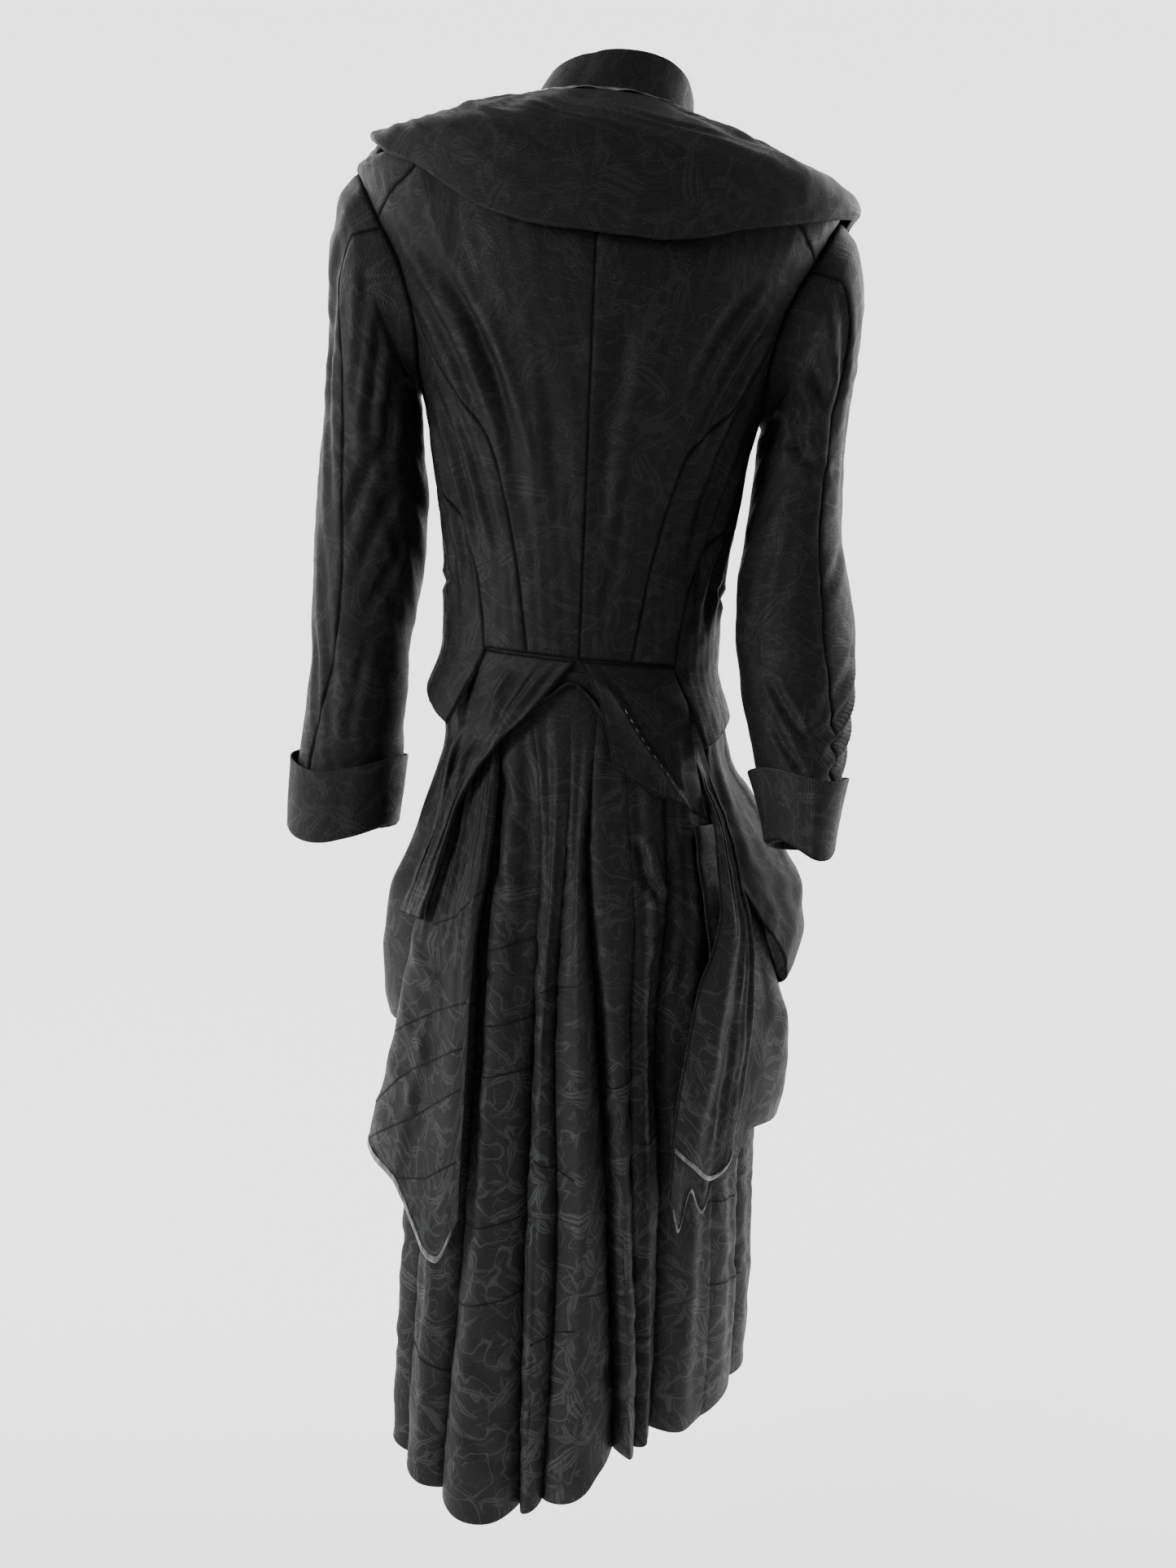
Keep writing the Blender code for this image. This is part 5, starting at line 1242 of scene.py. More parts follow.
def drape_back_left():
    """The puffed layer at the left of the back, joined across and bound at its foot."""
    edges = table(
        "down start end",
        (0, 37.5, 60.0),
        (0.3, 37.0, 65.5),
        (0.65, 36.0, 73.0),
        (0.88, 36.0, 81.0),
        (1, 35.5, 86.0),
    )
    hang = hang_from(-0.500, (0, -0.918), (0.14, -0.962), (0.48, -0.918), (0.56, -0.906), (1, -0.888))
    down, across, angle, level = hanging(edges, hang, 100, 64)
    reach = through(down, [0, 0.35, 0.75, 1], [0.0058, 0.0130, 0.0190, 0.0330])
    near = through(down, [0, 0.35, 0.75, 1], [0.0050, 0.0078, 0.0090, 0.0120])
    wave = 0.003 * np.sin(2 * np.pi * (1.4 * across + 0.1)) * smooth(down, 0.1, 0.6)
    creases = table(
        "x0 y0 x1 y1 width depth bend",
        (0.10, 0.02, 0.04, 0.55, 0.045, 0.0030, 0.02),
        (0.34, 0.00, 0.30, 0.50, 0.040, -0.0012, 0.02),
        (0.56, 0.00, 0.50, 0.42, 0.040, 0.0028, 0.02),
        (0.80, 0.00, 0.76, 0.50, 0.040, 0.0024, -0.02),
        (0.95, 0.46, 0.30, 0.56, 0.022, 0.0014, 0.02),
        (0.90, 0.62, 0.30, 0.70, 0.020, 0.0016, 0.02),
        (0.94, 0.78, 0.40, 0.84, 0.022, 0.0016, -0.02),
        (0.50, 0.60, 0.58, 0.98, 0.060, 0.0020, 0.02),
    )
    relief = np.maximum(creased(across, down, creases), -0.0006)
    out = near + (reach - near) * across**1.2 + wave
    name, patch = "drape_back_left", (12.3, 0.9, -14)
    outer, normal = hung(name, angle, level, out, relief, "start end", patch, rests_on=("swag_left",))
    edge_ribbon(name, outer[:, 4:-4], normal[:, 4:-4], DRAPE_SATIN)
    lines = (
        ((57.0, -0.668), (47.0, -0.655), (37.4, -0.626)),
        ((71.0, -0.774), (52.0, -0.742), (37.4, -0.724)),
        ((82.0, -0.852), (60.0, -0.800), (37.6, -0.764)),
        ((82.0, -0.886), (60.0, -0.846), (37.0, -0.800)),
        ((62.0, -0.902), (50.0, -0.892), (37.2, -0.866)),
    )
    joins(name, angle, level, outer, normal, lines)


def side_drape(name, edges, hang, fullness, round_hip, least, most, patch, foot=0.0):
    """A puffed layer over the hip. Its distance out is least, and most more where it is full both by its
    level and by round_hip: the angles where it swells, the angles where it sinks again, and how much it
    sinks. Below the hip it stands foot farther out."""
    down, across, angle, level = hanging(edges, hang, 84, 96)
    swells, sinks, share = round_hip
    full = through(level, fullness["level"], fullness["full"])
    full = full * smooth(np.abs(angle), *swells) * (1 - share * smooth(np.abs(angle), *sinks))
    out = least + most * full + foot * smooth(-level, 0.5, 0.6)
    relief = np.maximum(creased(across, down, HIP_CREASES), -0.0030 * full)
    hung(name, angle, level, out, relief * smooth(down, 0.02, 0.12), "start end bottom", patch)


HIP_CREASES = table(
    "x0 y0 x1 y1 width depth bend",
    (0.07, 0.08, 0.12, 0.92, 0.040, 0.0030, 0.02),
    (0.17, 0.04, 0.26, 0.70, 0.034, -0.0036, 0.03),
    (0.31, 0.02, 0.40, 0.90, 0.052, 0.0028, 0.03),
    (0.44, 0.05, 0.47, 0.48, 0.030, -0.0034, 0.01),
    (0.58, 0.03, 0.55, 0.80, 0.056, 0.0024, -0.03),
    (0.71, 0.06, 0.66, 0.58, 0.036, -0.0030, 0.02),
    (0.85, 0.04, 0.80, 0.88, 0.048, 0.0026, 0.02),
    (0.24, 0.62, 0.70, 0.82, 0.050, 0.0022, 0.05),
    (0.52, 0.42, 0.86, 0.62, 0.034, -0.0024, -0.03),
)


def hip_drapes():
    """The full layers over the hips and the lower one on the right."""
    side_drape(
        "drape_side_left",
        table("down start end", (0, 52.0, 150.0), (0.5, 50.0, 152.0), (1, 50.0, 150.0)),
        hang_from(INSIDE_FLAP, (0, -0.730), (0.25, -0.770), (0.45, -0.776), (0.75, -0.700), (1, -0.600)),
        table(
            "level full",
            (-0.78, 0.55),
            (-0.745, 0.85),
            (-0.70, 1.0),
            (-0.63, 0.85),
            (-0.57, 0.5),
            (-0.50, 0.08),
            (INSIDE_FLAP, 0.0),
        ),
        round_hip=((64, 94), (115, 150), 0.6),
        least=0.0032,
        most=0.031,
        patch=(13.1, 0.3, 12),
    )
    side_drape(
        "drape_side_right",
        table("down start end", (0, -60.0, -150.0), (0.5, -61.0, -152.0), (1, -62.0, -150.0)),
        hang_from(INSIDE_FLAP, (0, -0.600), (0.15, -0.675), (0.35, -0.735), (0.7, -0.710), (1, -0.600)),
        table(
            "level full",
            (-0.74, 0.25),
            (-0.71, 0.62),
            (-0.67, 0.92),
            (-0.62, 1.0),
            (-0.57, 0.70),
            (-0.50, 0.12),
            (INSIDE_FLAP, 0.0),
        ),
        round_hip=((62, 96), (115, 150), 0.6),
        least=0.0032,
        most=0.046,
        patch=(14.4, 0.6, -9),
        foot=0.006,
    )
    side_drape(
        "drape_lower_right",
        table("down start end", (0, -47.0, -140.0), (0.5, -42.0, -140.0), (1, -40.0, -138.0)),
        hang_from(
            -0.560, (0, -0.893), (0.10, -0.902), (0.22, -0.862), (0.50, -0.872), (0.80, -0.790), (1, -0.700)
        ),
        table(
            "level full",
            (-0.90, 0.3),
            (-0.86, 0.7),
            (-0.80, 1.0),
            (-0.74, 0.75),
            (-0.68, 0.25),
            (-0.60, 0.05),
            (-0.56, 0.0),
        ),
        round_hip=((50, 88), (110, 140), 0.5),
        least=0.0030,
        most=0.024,
        patch=(15.2, 0.1, 18),
    )


def cascade_right():
    """The narrow fall of cloth on the right, which swings in and is bound at its foot."""
    edges = table(
        "down start end",
        (0.0, -43.5, -55.0),
        (0.10, -47.0, -56.5),
        (0.25, -50.0, -58.0),
        (0.45, -46.5, -59.0),
        (0.55, -40.0, -58.0),
        (0.63, -34.0, -57.0),
        (0.75, -30.0, -54.5),
        (0.88, -27.0, -50.5),
        (1.0, -25.0, -47.0),
    )
    hang = hang_from(INSIDE_FLAP, (0, -0.850), (0.25, -0.868), (0.60, -0.888), (0.85, -0.880), (1, -0.862))
    down, across, angle, level = hanging(edges, hang, 120, 46)
    out = through(down, [0, 0.09, 0.16, 0.3, 0.6, 1], [0.0022, 0.0028, 0.0100, 0.0190, 0.0170, 0.0130])
    ridge = 0.004 * np.sin(np.pi * across) ** 2 + 0.0025 * np.sin(2 * np.pi * (1.5 * across - 0.1))
    creases = table(
        "x0 y0 x1 y1 width depth bend",
        (0.40, 0.14, 0.62, 0.70, 0.060, 0.0030, 0.03),
        (0.72, 0.12, 0.86, 0.90, 0.050, -0.0026, 0.02),
        (0.20, 0.16, 0.30, 0.50, 0.050, -0.0020, 0.02),
        (0.30, 0.56, 0.24, 0.96, 0.070, 0.0020, 0.02),
        (0.55, 0.62, 0.60, 0.98, 0.050, -0.0022, -0.02),
    )
    relief = creased(across, down, creases) * smooth(down, 0.12, 0.2)
    out = out + ridge * smooth(down, 0.12, 0.35)
    outer, normal = hung("cascade_right", angle, level, out, relief, "start end", (16.5, 0.8, -22))
    edge_ribbon("cascade_right", outer[:, 4:-4], normal[:, 4:-4], CASCADE_SATIN)


def tail_right():
    """The short bound tail that shows below the cascade."""
    edges = table("down start end", (0, -26.0, -46.0), (1, -26.5, -42.0))
    hang = hang_from(-0.815, (0, -0.905), (0.18, -0.938), (0.42, -0.900), (0.70, -0.925), (1, -0.895))
    down, across, angle, level = hanging(edges, hang, 40, 60)
    relief = 0.0008 * np.sin(across * 19) * smooth(down, 0.1, 0.5)
    out = 0.0088 - 0.004 * smooth(down, 0.3, 1)
    outer, normal = hung("tail_right", angle, level, out, relief, "start end", (17.7, 0.5, 30))
    edge_ribbon("tail_right", outer[:, 4:-4], normal[:, 4:-4], TAIL_SATIN)


def ribbon(name, edge, inward, lift, width, thick, node, wrap=True, finish="satin"):
    """Satin laid along an edge: a flat band on the cloth, or one folded round the edge to its other side.
    With the seam finish the flat band is a dark strip of painted seam shadow instead.
    Its cross-section is a short closed row of points, each so far inward of the edge and so high above it."""
    if wrap:
        under = -SHELL - thick
        section = [(width, 0.0003), (width, thick), (0.0012, thick * 1.3), (-thick, 0), (-thick, -SHELL)]
        section += [(0.0012, -SHELL - thick * 1.3), (width, under), (width, -SHELL - 0.0003)]
        section += [(0, -SHELL), (0, 0)]
    else:
        section = [(0, 0.0005), (0.0004, thick), (width * 0.3, thick * 1.5), (width * 0.7, thick * 1.5)]
        section += [(width, thick), (width, 0.0005)]
    inside, high = np.array(section).T[:, :, None, None]
    along = np.arange(len(edge))[None, :, None]
    puffed = 1 + 0.18 * np.sin(along * 0.9) * (np.abs(high) > 0.0006)
    points = edge + inward * inside + lift * high * puffed
    rows, columns = points.shape[:2]
    r, c = (a.ravel() for a in np.meshgrid(np.arange(rows), np.arange(columns - 1), indexing="ij"))
    after = (r + 1) % rows
    faces = np.stack([r * columns + c, after * columns + c, after * columns + c + 1, r * columns + c + 1], 1)
    caps = [np.arange(rows) * columns, (np.arange(rows) * columns + columns - 1)[::-1]]
    points = points.reshape(-1, 3)
    if inside_out(points, faces):
        faces, caps = faces[:, ::-1], [cap[::-1] for cap in caps]
    mesh = bpy.data.meshes.new(name)
    mesh.from_pydata(points.tolist(), [], faces.tolist() + [cap.tolist() for cap in caps])
    run = lengths(edge, 0)
    uv = np.stack([np.tile(run, rows), np.repeat(np.linspace(0, 2 * width, rows), columns)], -1)
    layer = mesh.uv_layers.new(name="cloth")
    corner = np.zeros(len(mesh.loops), int)
    mesh.loops.foreach_get("vertex_index", corner)
    layer.data.foreach_set("uv", uv[corner].ravel())
    piece = finished(name, mesh, finish, 70)
    if node == "collar":
        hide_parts("collar_binding")
    TRIMS.setdefault(node, []).append(piece)


def edge_ribbon(node, outer, normal, width):
    """A satin binding folded round the bottom edge of a hung piece."""
    edge = outer[-1]
    inward = unit(outer[-6] - outer[-1])
    ribbon(f"binding_{node}", edge, inward, normal[-1], width, FOLDED_SATIN, node)


def tube_faces(rings, sides):
    """Faces of a tube of closed rings of points."""
    r, c = (a.ravel() for a in np.meshgrid(np.arange(rings - 1), np.arange(sides), indexing="ij"))
    after = (c + 1) % sides
    low, high = r * sides, (r + 1) * sides
    return np.stack([low + c, low + after, high + after, high + c], 1)


def joins(node, angle, level, outer, normal, lines):
    """Sewn joins across a piece: each a narrow ridge along a row of angles and levels, painted almost
    black as the shadow in the join's hollow. Its level at each column of the piece is found by going from
    angle to level and back four times."""
    for number, line in enumerate(lines, 1):
        line_angle, line_level = np.array(line).T
        order = np.argsort(line_angle)
        row = np.full(angle.shape[1], line_level.mean())
        for _ in range(4):
            at = np.array([np.interp(-row[c], -level[:, c], angle[:, c]) for c in range(len(row))])
            row = np.interp(at, line_angle[order], line_level[order])
        kept = np.flatnonzero((at >= line_angle.min()) & (at <= line_angle.max()))

        def read(values):
            spots = [[np.interp(-row[c], -level[:, c], values[:, c, k]) for k in range(3)] for c in kept]
            return np.stack(spots)

        path, up = read(outer), unit(read(normal))
        below = unit(np.cross(np.gradient(path, axis=0), up))
        below = below * np.where(below[:, 2:] > 0, -1, 1)
        # The seam finish paints this ridge almost black, as painted shadow for the join's hollow.
        ribbon(f"join_{number}_{node}", path, below, up, JOIN_WIDTH, JOIN_HEIGHT, node, False, "seam")


def stitches(name, node, path, normals):
    """Light basting stitches along a path: small flattened beads of thread, each lying on the cloth."""
    run = lengths(path, 0)
    centre = np.arange(BASTING_PITCH, run[-1] - BASTING_PITCH, BASTING_PITCH)
    at = np.stack([np.interp(centre, run, path[:, k]) for k in range(3)], 1)
    up = unit(np.stack([np.interp(centre, run, normals[:, k]) for k in range(3)], 1))
    ahead = np.stack([np.interp(centre + 0.001, run, path[:, k]) for k in range(3)], 1) - at
    ahead = unit(ahead - up * np.einsum("ij,ij->i", ahead, up)[:, None])
    aside = np.cross(up, ahead)
    turn = np.linspace(0, 2 * np.pi, 7)[:-1]
    along = np.array([-0.5, -0.42, -0.2, 0.2, 0.42, 0.5])[:, None]
    thick = np.array([0.05, 0.7, 1, 1, 0.7, 0.05])[:, None] * BASTING_THREAD
    on, out, high = along * BASTING_LENGTH, thick * np.cos(turn), thick * np.sin(turn) + 0.0002
    points = at[:, None, None] + ahead[:, None, None] * (on + 0 * turn)[..., None]
    points = points + aside[:, None, None] * out[..., None] + up[:, None, None] * high[..., None]
    count, rings, sides = points.shape[:3]
    faces = (np.arange(count)[:, None, None] * rings * sides + tube_faces(rings, sides)).reshape(-1, 4)
    ends = [(np.arange(sides)[::-1] + k * rings * sides).tolist() for k in range(count)]
    ends += [(np.arange(sides) + k * rings * sides + (rings - 1) * sides).tolist() for k in range(count)]
    mesh = bpy.data.meshes.new(name)
    mesh.from_pydata(points.reshape(-1, 3).tolist(), [], faces.tolist() + ends)
    TRIMS.setdefault(node, []).append(finished(name, mesh, "thread"))


# A button's profile from its back to its face, as shares of its size: a rim, then a shallow dish
BUTTON_PROFILE = table(
    "radius height",
    (0.90, 0.00),
    (0.96, 0.06),
    (1.00, 0.20),
    (1.00, 0.62),
    (0.97, 0.84),
    (0.92, 0.97),
    (0.84, 1.00),
    (0.76, 0.95),
    (0.70, 0.82),
    (0.62, 0.74),
    (0.40, 0.70),
    (0.20, 0.70),
)


def button(number, level):
    """A round button: its profile turned about its own axis."""
    centre = on_bodice(np.array([-180.0]), np.array([level]))[0]
    normal = bodice_normals(np.array([-180.0]), np.array([level]))[0]
    base = centre + normal * (FRONT_LAP + 0.0006)
    side = unit(np.cross(normal, [0, 0, 1]))
    up = np.cross(side, normal)
    turn = np.linspace(0, 2 * np.pi, 49)[:-1]
    radius = BUTTON_PROFILE["radius"][:, None, None] * BUTTON_RADIUS
    height = BUTTON_PROFILE["height"][:, None, None] * BUTTON_THICK
    round_about = side * np.cos(turn)[:, None] + up * np.sin(turn)[:, None]
    points = base + radius * round_about + height * normal
    rings, sides = points.shape[:2]
    back, face = np.arange(sides)[::-1], np.arange(sides) + (rings - 1) * sides
    faces = tube_faces(rings, sides).tolist() + [back.tolist(), face.tolist()]
    mesh = bpy.data.meshes.new(f"horn_button_{number}")
    mesh.from_pydata(points.reshape(-1, 3).tolist(), [], faces)
    piece = finished(f"horn_button_{number}", mesh, "button", 50)
    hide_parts(f"button_{number}")


class Wire:
    """A shader socket that can be written with in sums, so that a pattern reads as a formula."""

    def __init__(self, tree, socket):
        self.tree, self.socket = tree, socket

    def node(self, kind, settings=None, *values, out=0, **named):
        """Adds a node: its settings first, then its inputs in order or by name, each a value or a wire."""
        made = self.tree.nodes.new(kind)
        for key, value in (settings or {}).items():
            setattr(made, key, value)
        inputs = [(made.inputs[i], value) for i, value in enumerate(values)]
        inputs += [(made.inputs[key.replace("_", " ")], value) for key, value in named.items()]
        for socket, value in inputs:
            if isinstance(value, Wire):
                self.tree.links.new(value.socket, socket)
            elif value is not None:
                socket.default_value = value
        return Wire(self.tree, made.outputs[out])

    def math(self, operation, *values):
        return self.node("ShaderNodeMath", {"operation": operation}, self, *values)

    def __add__(self, other):
        return self.math("ADD", other)

    def __sub__(self, other):
        return self.math("SUBTRACT", other)

    def __rsub__(self, other):
        return (self * -1.0) + other

    def __mul__(self, other):
        return self.math("MULTIPLY", other)

    def __truediv__(self, other):
        return self.math("DIVIDE", other)

    __radd__, __rmul__ = __add__, __mul__

    def vector(self, operation, *values):
        return self.node("ShaderNodeVectorMath", {"operation": operation}, self, *values)

    def parts(self):
        made = self.node("ShaderNodeSeparateXYZ", None, self)
        outputs = made.socket.node.outputs
        return [Wire(self.tree, outputs[i]) for i in range(3)]

    def step(self, low, high):
        """0 below low to 1 above high, smoothly."""
        settings = {"interpolation_type": "SMOOTHSTEP"}
        return self.node("ShaderNodeMapRange", settings, self, low, high, 0.0, 1.0)

    def least(self, other):
        return self.math("MINIMUM", other)

    def most(self, other):
        return self.math("MAXIMUM", other)

    def noise(self, scale, detail=2.0, rough=0.5, out=0, distort=0.0):
        inputs = dict(Vector=self, Scale=scale, Detail=detail, Roughness=rough, Distortion=distort)
        return self.node("ShaderNodeTexNoise", {"noise_dimensions": "3D"}, out=out, **inputs)


def blend(factor, first, second):
    """Colour between first and second by a factor of 0 to 1."""
    made = factor.tree.nodes.new("ShaderNodeMix")
    made.data_type = "RGBA"
    for socket, value in ((made.inputs[0], factor), (made.inputs[6], first), (made.inputs[7], second)):
        if isinstance(value, Wire):
            factor.tree.links.new(value.socket, socket)
        else:
            socket.default_value = value
    return Wire(factor.tree, made.outputs[2])


def grey(value, warm=0.0):
    """A grey, made a little redder and less blue by warm."""
    return (value * (1 + warm), value, value * (1 - warm), 1.0)


def surface(name, roughness, specular=0.4):
    """A new material: its principled node, and a wire to start patterns from."""
    made = bpy.data.materials.new(name)
    made.use_nodes = True
    principled = made.node_tree.nodes["Principled BSDF"]
    principled.inputs["Roughness"].default_value = roughness
    principled.inputs["Specular IOR Level"].default_value = specular
    return made, principled, Wire(made.node_tree, None)


def finish_material(material, principled, **inputs):
    """Joins wires to the named inputs of the principled node."""
    for key, wire in inputs.items():
        material.node_tree.links.new(wire.socket, principled.inputs[key.replace("_", " ")])
    return material


# Leaves of a spray: turn in radians, length, half width, notches along it and how much it curls.
LEAVES = (
    (0.0, 0.62, 0.100, 12.0, 0.55),
    (0.95, 0.40, 0.110, 9.0, -0.50),
    (-0.60, 0.46, 0.095, 10.0, -0.70),
    (2.75, 0.50, 0.090, 11.0, 0.60),
    (-2.20, 0.34, 0.110, 8.0, 0.45),
)


def leaf(spot, size, turned, half_width, teeth, curl):
    """1 inside a pointed, notched leaf from the spot's origin, 0 outside it and along its vein."""
    x, y, _ = spot.parts()
    x, y = x / size, y / size
    cosine, sine = float(np.cos(turned)), float(np.sin(turned))
    along, aside = x * cosine + y * sine, y * cosine - x * sine
    aside = aside - along * along * curl
    share = along.least(1.0).most(0.0)
    bulge = (share * 3.1416).math("SINE").math("POWER", 0.8) * half_width
    notch = ((share * teeth).math("FRACT") - 0.5).math("ABSOLUTE") * 0.55 + 0.72
    off = aside.math("ABSOLUTE")
    inside = (bulge * notch - off).step(-0.006, 0.018)
    beside_vein = off.step(0.008, 0.03)
    return inside * beside_vein


def sprays(where, scale, seed):
    """A scatter of sprays: long curled leaves from a stem at each cell's own point and turn."""
    placed = where.vector("ADD", seed)
    settings = {"voronoi_dimensions": "2D", "feature": "F1"}
    inputs = dict(Vector=placed, Scale=scale, Randomness=0.62)
    cell = placed.node("ShaderNodeTexVoronoi", settings, out="Position", **inputs)
    colour = Wire(where.tree, cell.socket.node.outputs["Color"])
    spot = placed.vector("SUBTRACT", cell)
    turn = colour.parts()[0] * 6.283
    spot = spot.node("ShaderNodeVectorRotate", {"rotation_type": "Z_AXIS"}, Vector=spot, Angle=turn)
    spot = spot.vector("ADD", (0.006, 0.0, 0.0))
    pattern = None
    reach = 1.0 / scale
    for turned, size, half, teeth, curl in LEAVES:
        made = leaf(spot, size * reach, turned, half, teeth, curl)
        pattern = made if pattern is None else pattern.most(made)
    return pattern


def tendrils(where, scale, width, seed):
    """Thin curling lines: where a slow noise passes through its middle value."""
    level = where.vector("ADD", seed).noise(scale, 1.5, 0.4, distort=0.6)
    return 1.0 - ((level - 0.5).math("ABSOLUTE")).step(width * 0.5, width)


def woven_figure(where):
    """Large and small sprays of leaves with tendrils between them, all bent a little by a slow noise."""
    wander = where.noise(38.0, 1.0, out="Color").vector("SUBTRACT", (0.5, 0.5, 0.5))
    wander = wander.vector("MULTIPLY", (0.010, 0.010, 0.0))
    bent = where.vector("ADD", wander)
    large = sprays(bent, 11.5, (3.1, 7.7, 0.0))
    small = sprays(bent, 21.0, (9.3, 1.9, 0.0))
    figure = large.most(small * (1.0 - large * 0.5))
    figure = figure.most(tendrils(bent, 26.0, 0.016, (4.0, 2.0, 0.0)) * 0.85)
    return figure.most(tendrils(bent, 44.0, 0.014, (1.0, 8.0, 0.0)) * 0.6)


def figured_cloth():
    """Near-black jacquard: leaves and tendrils in a slightly paler, smoother weave over a fine cross rib."""
    material, principled, base = surface("figured cloth", 0.55, 0.14)
    where = base.node("ShaderNodeUVMap", {"uv_map": "cloth"})
    figure = woven_figure(where)
    grain = where.vector("MULTIPLY", (260.0, 1150.0, 0.0)).noise(1.0, 2.0, 0.6)
    worn = where.noise(9.0, 3.0, 0.6)
    figure = figure * (grain * 0.9 + 0.5).least(1.0)
    # Painted light: low is 0 above -0.35 m and 1 below -0.95 m. The cloth is painted darker up the coat and
    # lighter towards the hem, with its figure stronger lower down, for how the light falls on it.
    low = base.node("ShaderNodeTexCoord", out="Object").parts()[2].step(-0.35, -0.95)
    tone = figure * (worn * 0.7 + 0.55) * (low * 0.45 + 0.55)
    colour = blend(tone.least(1.0), grey(0.0086, -0.03), grey(0.0290, -0.03))
    # shade is the weave's grain times that painted light, which lightens the cloth towards the hem.
    shade = (grain * 1.3 + 0.38) * (low * 0.70 + 0.52)
    colour = colour.vector("SCALE", None, None, shade)
    streak = where.vector("MULTIPLY", (45.0, 900.0, 0.0)).noise(1.0, 1.0, 0.5).step(0.55, 0.80)
    colour = blend(streak * 0.30, colour, grey(0.030, -0.02))
    # Painted shade: the cloth turns almost black where it rolls into a seam, for the shade in the seam's
    # hollow.
    seam = base.node("ShaderNodeAttribute", {"attribute_name": "seam"}, out="Fac")
    colour = blend(seam.step(0.05, 0.6) * 0.85, colour, grey(0.0006))
    lint = where.vector("MULTIPLY", (900.0, 1100.0, 0.0)).noise(1.0, 0.0, 0.5).step(0.80, 0.84)
    colour = blend(lint * 0.5, colour, grey(0.12))
    rib = (where.parts()[1] * 6900.0 + grain * 5.0).math("SINE") * 0.5 + 0.5
    height = rib * 0.5 + grain * 1.2
    normal = height.node("ShaderNodeBump", None, Strength=0.55, Distance=0.00060, Height=height)
    rough = 0.52 - figure * 0.10 + worn * 0.10 + seam * 0.35
    return finish_material(material, principled, Base_Color=colour, Roughness=rough, Normal=normal)


def satin():
    """Grey satin, a little puckered along its length."""
    material, principled, base = surface("grey satin", 0.36, 0.5)
    where = base.node("ShaderNodeUVMap", {"uv_map": "cloth"})
    pucker = where.vector("MULTIPLY", (160.0, 60.0, 0.0)).noise(1.0, 2.0, 0.5)
    # Painted sheen: the satin is painted lighter where its puckers rise and darker in their hollows.
    colour = blend(pucker.step(0.35, 0.7), grey(0.04), grey(0.13))
    normal = pucker.node("ShaderNodeBump", None, Strength=0.5, Distance=0.0006, Height=pucker)
    return finish_material(material, principled, Base_Color=colour, Normal=normal)


def button_material():
    """Dark horn: softly polished, with faint clouds."""
    material, principled, base = surface("dark horn", 0.45, 0.25)
    where = base.node("ShaderNodeTexCoord", out="Object")
    cloud = where.noise(220.0, 3.0, 0.6)
    return finish_material(material, principled, Base_Color=blend(cloud, grey(0.006), grey(0.022, 0.15)))


def thread(name, shade):
    """Dull material of one shade of grey, used for the basting thread and for the painted seam shadow of the
    joins.
    """
    material, principled, _ = surface(name, 0.7, 0.2)
    principled.inputs["Base Color"].default_value = grey(shade)
    return material


# Lamps: name, place, the point it is aimed at, width and power in watts
LAMPS = (
    ("key", (2.4, 1.7, 0.3), (0.0, 0.0, -0.6), 0.8, 108.0),
    ("fill", (-2.2, 1.7, 0.0), (0.0, 0.0, -0.6), 1.6, 7.0),
    ("rim_left", (1.8, -1.3, 0.8), (0.0, 0.0, -0.4), 1.2, 26.0),
    ("rim_right", (-1.8, -1.3, 0.8), (0.0, 0.0, -0.4), 1.2, 34.0),
)


def light(name, where, aim, size, power):
    """A soft square lamp aimed at a point."""
    data = bpy.data.lights.new(name, "AREA")
    data.shape, data.size, data.energy = "SQUARE", size, power
    lamp = bpy.data.objects.new(name, data)
    lamp.location = where
    lamp.rotation_euler = (Vector(aim) - Vector(where)).to_track_quat("-Z", "Y").to_euler()
    bpy.context.collection.objects.link(lamp)


def ground():
    """A pale floor that curves up all round: a row of radii and heights, turned about the z axis. It shines
    by itself, evenly, where the photograph sees it."""
    material, principled, base = surface("pale ground", 0.95, 0.1)
    principled.inputs["Base Color"].default_value = grey(0.30)
    principled.inputs["Emission Strength"].default_value = 2.30
    behind = base.node("ShaderNodeTexCoord", out="Object").parts()[1].step(1.2, -0.6)
    material = finish_material(material, principled, Emission_Color=blend(behind, grey(0.06), grey(1.0)))
    bend = np.radians(np.linspace(0, 90, 13))
    radius = np.concatenate([[0.0001, 2.0], 4.5 + 1.5 * np.sin(bend), [6.0]])
    height = np.concatenate([[0, 0], 1.5 * (1 - np.cos(bend)), [7.0]]) + FLOOR
    round_about = np.linspace(0, 2 * np.pi, 65)[:-1, None]
    rings = [radius * np.cos(round_about), radius * np.sin(round_about), height + 0 * round_about]
    points = np.stack(rings, -1).transpose(1, 0, 2)
    faces = tube_faces(*points.shape[:2])
    mesh = bpy.data.meshes.new("ground")
    mesh.from_pydata(points.reshape(-1, 3).tolist(), [], faces.tolist())
    mesh.shade_smooth()
    mesh.materials.append(material)
    floor = bpy.data.objects.new("ground", mesh)
    bpy.context.collection.objects.link(floor)


def surroundings():
    """Even white light from all round, and the lamps."""
    world = bpy.data.worlds.new("studio")
    world.use_nodes = True
    world.node_tree.nodes["Background"].inputs["Color"].default_value = grey(1.0)
    world.node_tree.nodes["Background"].inputs["Strength"].default_value = 0.45
    bpy.context.scene.world = world
    for lamp in LAMPS:
        light(*lamp)


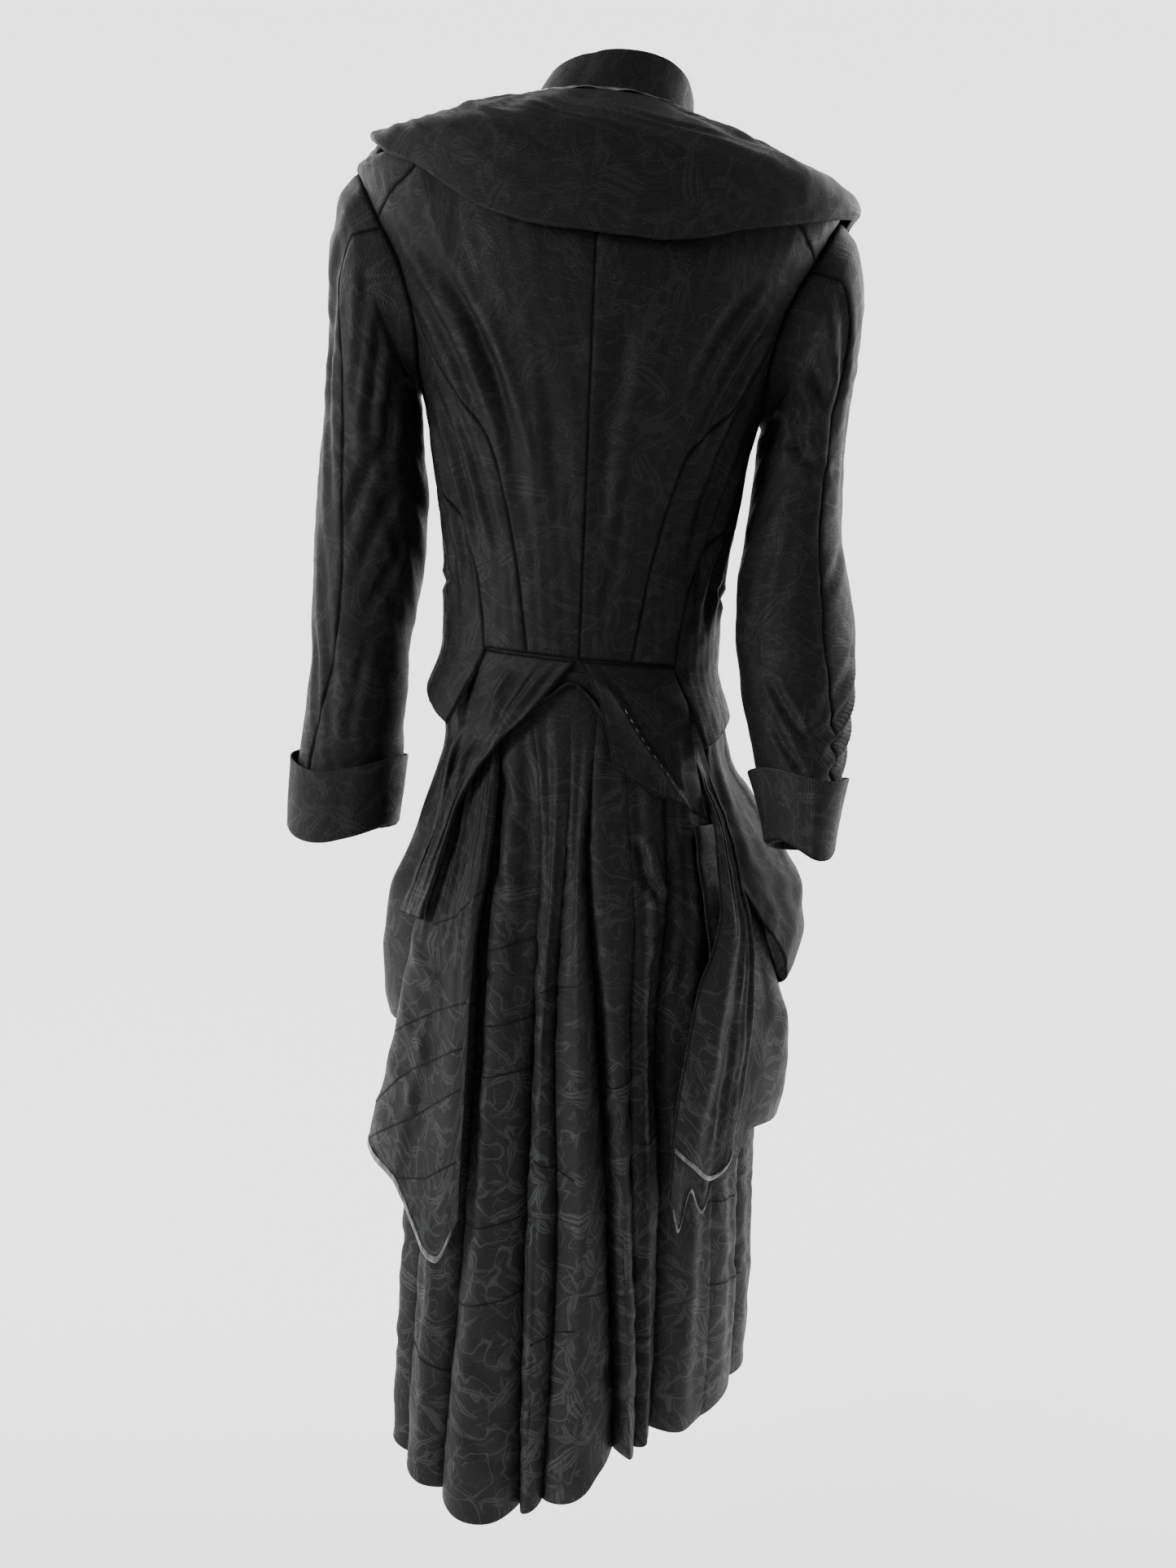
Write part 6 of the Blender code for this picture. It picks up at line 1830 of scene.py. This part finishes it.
def photo_camera():
    """The camera of the photograph: behind the coat, pitched down and a little rolled."""
    forward = Vector((0, -np.cos(np.radians(PITCH)), -np.sin(np.radians(PITCH))))
    level = Vector((-1, 0, 0))
    up = level.cross(forward)
    roll = np.radians(ROLLED)
    right, above = level * np.cos(roll) + up * np.sin(roll), up * np.cos(roll) - level * np.sin(roll)
    data = bpy.data.cameras.new("photo")
    data.sensor_fit, data.sensor_height, data.lens = "VERTICAL", 36.0, LENS
    data.clip_start = 0.05
    camera = bpy.data.objects.new("photo", data)
    turn = Matrix((right, above, -forward)).transposed().to_4x4()
    camera.matrix_world = Matrix.Translation(CAMERA) @ turn
    bpy.context.collection.objects.link(camera)
    bpy.context.scene.camera = camera


def main():
    """Makes the materials, every piece of the coat, the sheets' cuts and the studio."""
    FINISH.update(
        figured_cloth=figured_cloth(),
        satin=satin(),
        button=button_material(),
        thread=thread("grey thread", 0.16),
        # seam: the near-black finish of the joins, painted shadow for their hollows.
        seam=thread("painted seam shadow", 0.001),
    )
    for tag, side, shift in (("left", 1, 0.0), ("right", -1, 4.0)):
        patch = np.array([2.1 + shift, 0.4 + shift, 6.0 * side])
        back(tag, side, patch)
        side_back(tag, side, patch + [0.3, 0.1, 8])
        side_panel(tag, side, patch + [0.7, 0.4, -6])
        front(tag, side, patch + [1.3, 0.2, 4])
        yoke(tag, side, patch + [0.2, 1.1, 20])
        rows = LEFT_SLEEVE if side > 0 else RIGHT_SLEEVE
        arm(tag, side, rows, LEFT_ARM_CREASES if side > 0 else RIGHT_ARM_CREASES, patch + [1.7, 0.5, 15])
        cuff(tag, side, rows, patch + [0.9, 1.5, 80])
    collar_stand()
    cape_collar()
    joins("skirt_back", *skirt("skirt_back", BACK_GROOVES, BACK_PLEATS, (7.5, 0.2, 3), 24), BACK_JOINS)
    joins("skirt_left", *skirt("skirt_left", LEFT_GROOVES, LEFT_PLEATS, (8.6, 1.1, -5), 18), LEFT_JOINS)
    joins("skirt_right", *skirt("skirt_right", RIGHT_GROOVES, RIGHT_PLEATS, (10.4, 1.9, 7), 18), RIGHT_JOINS)
    centre_facing()
    swag_left()
    swag_right()
    drape_back_left()
    hip_drapes()
    cascade_right()
    tail_right()
    for number, level in enumerate(BUTTON_LEVELS, 1):
        button(number, level)
    ground()
    surroundings()
    photo_camera()


main()
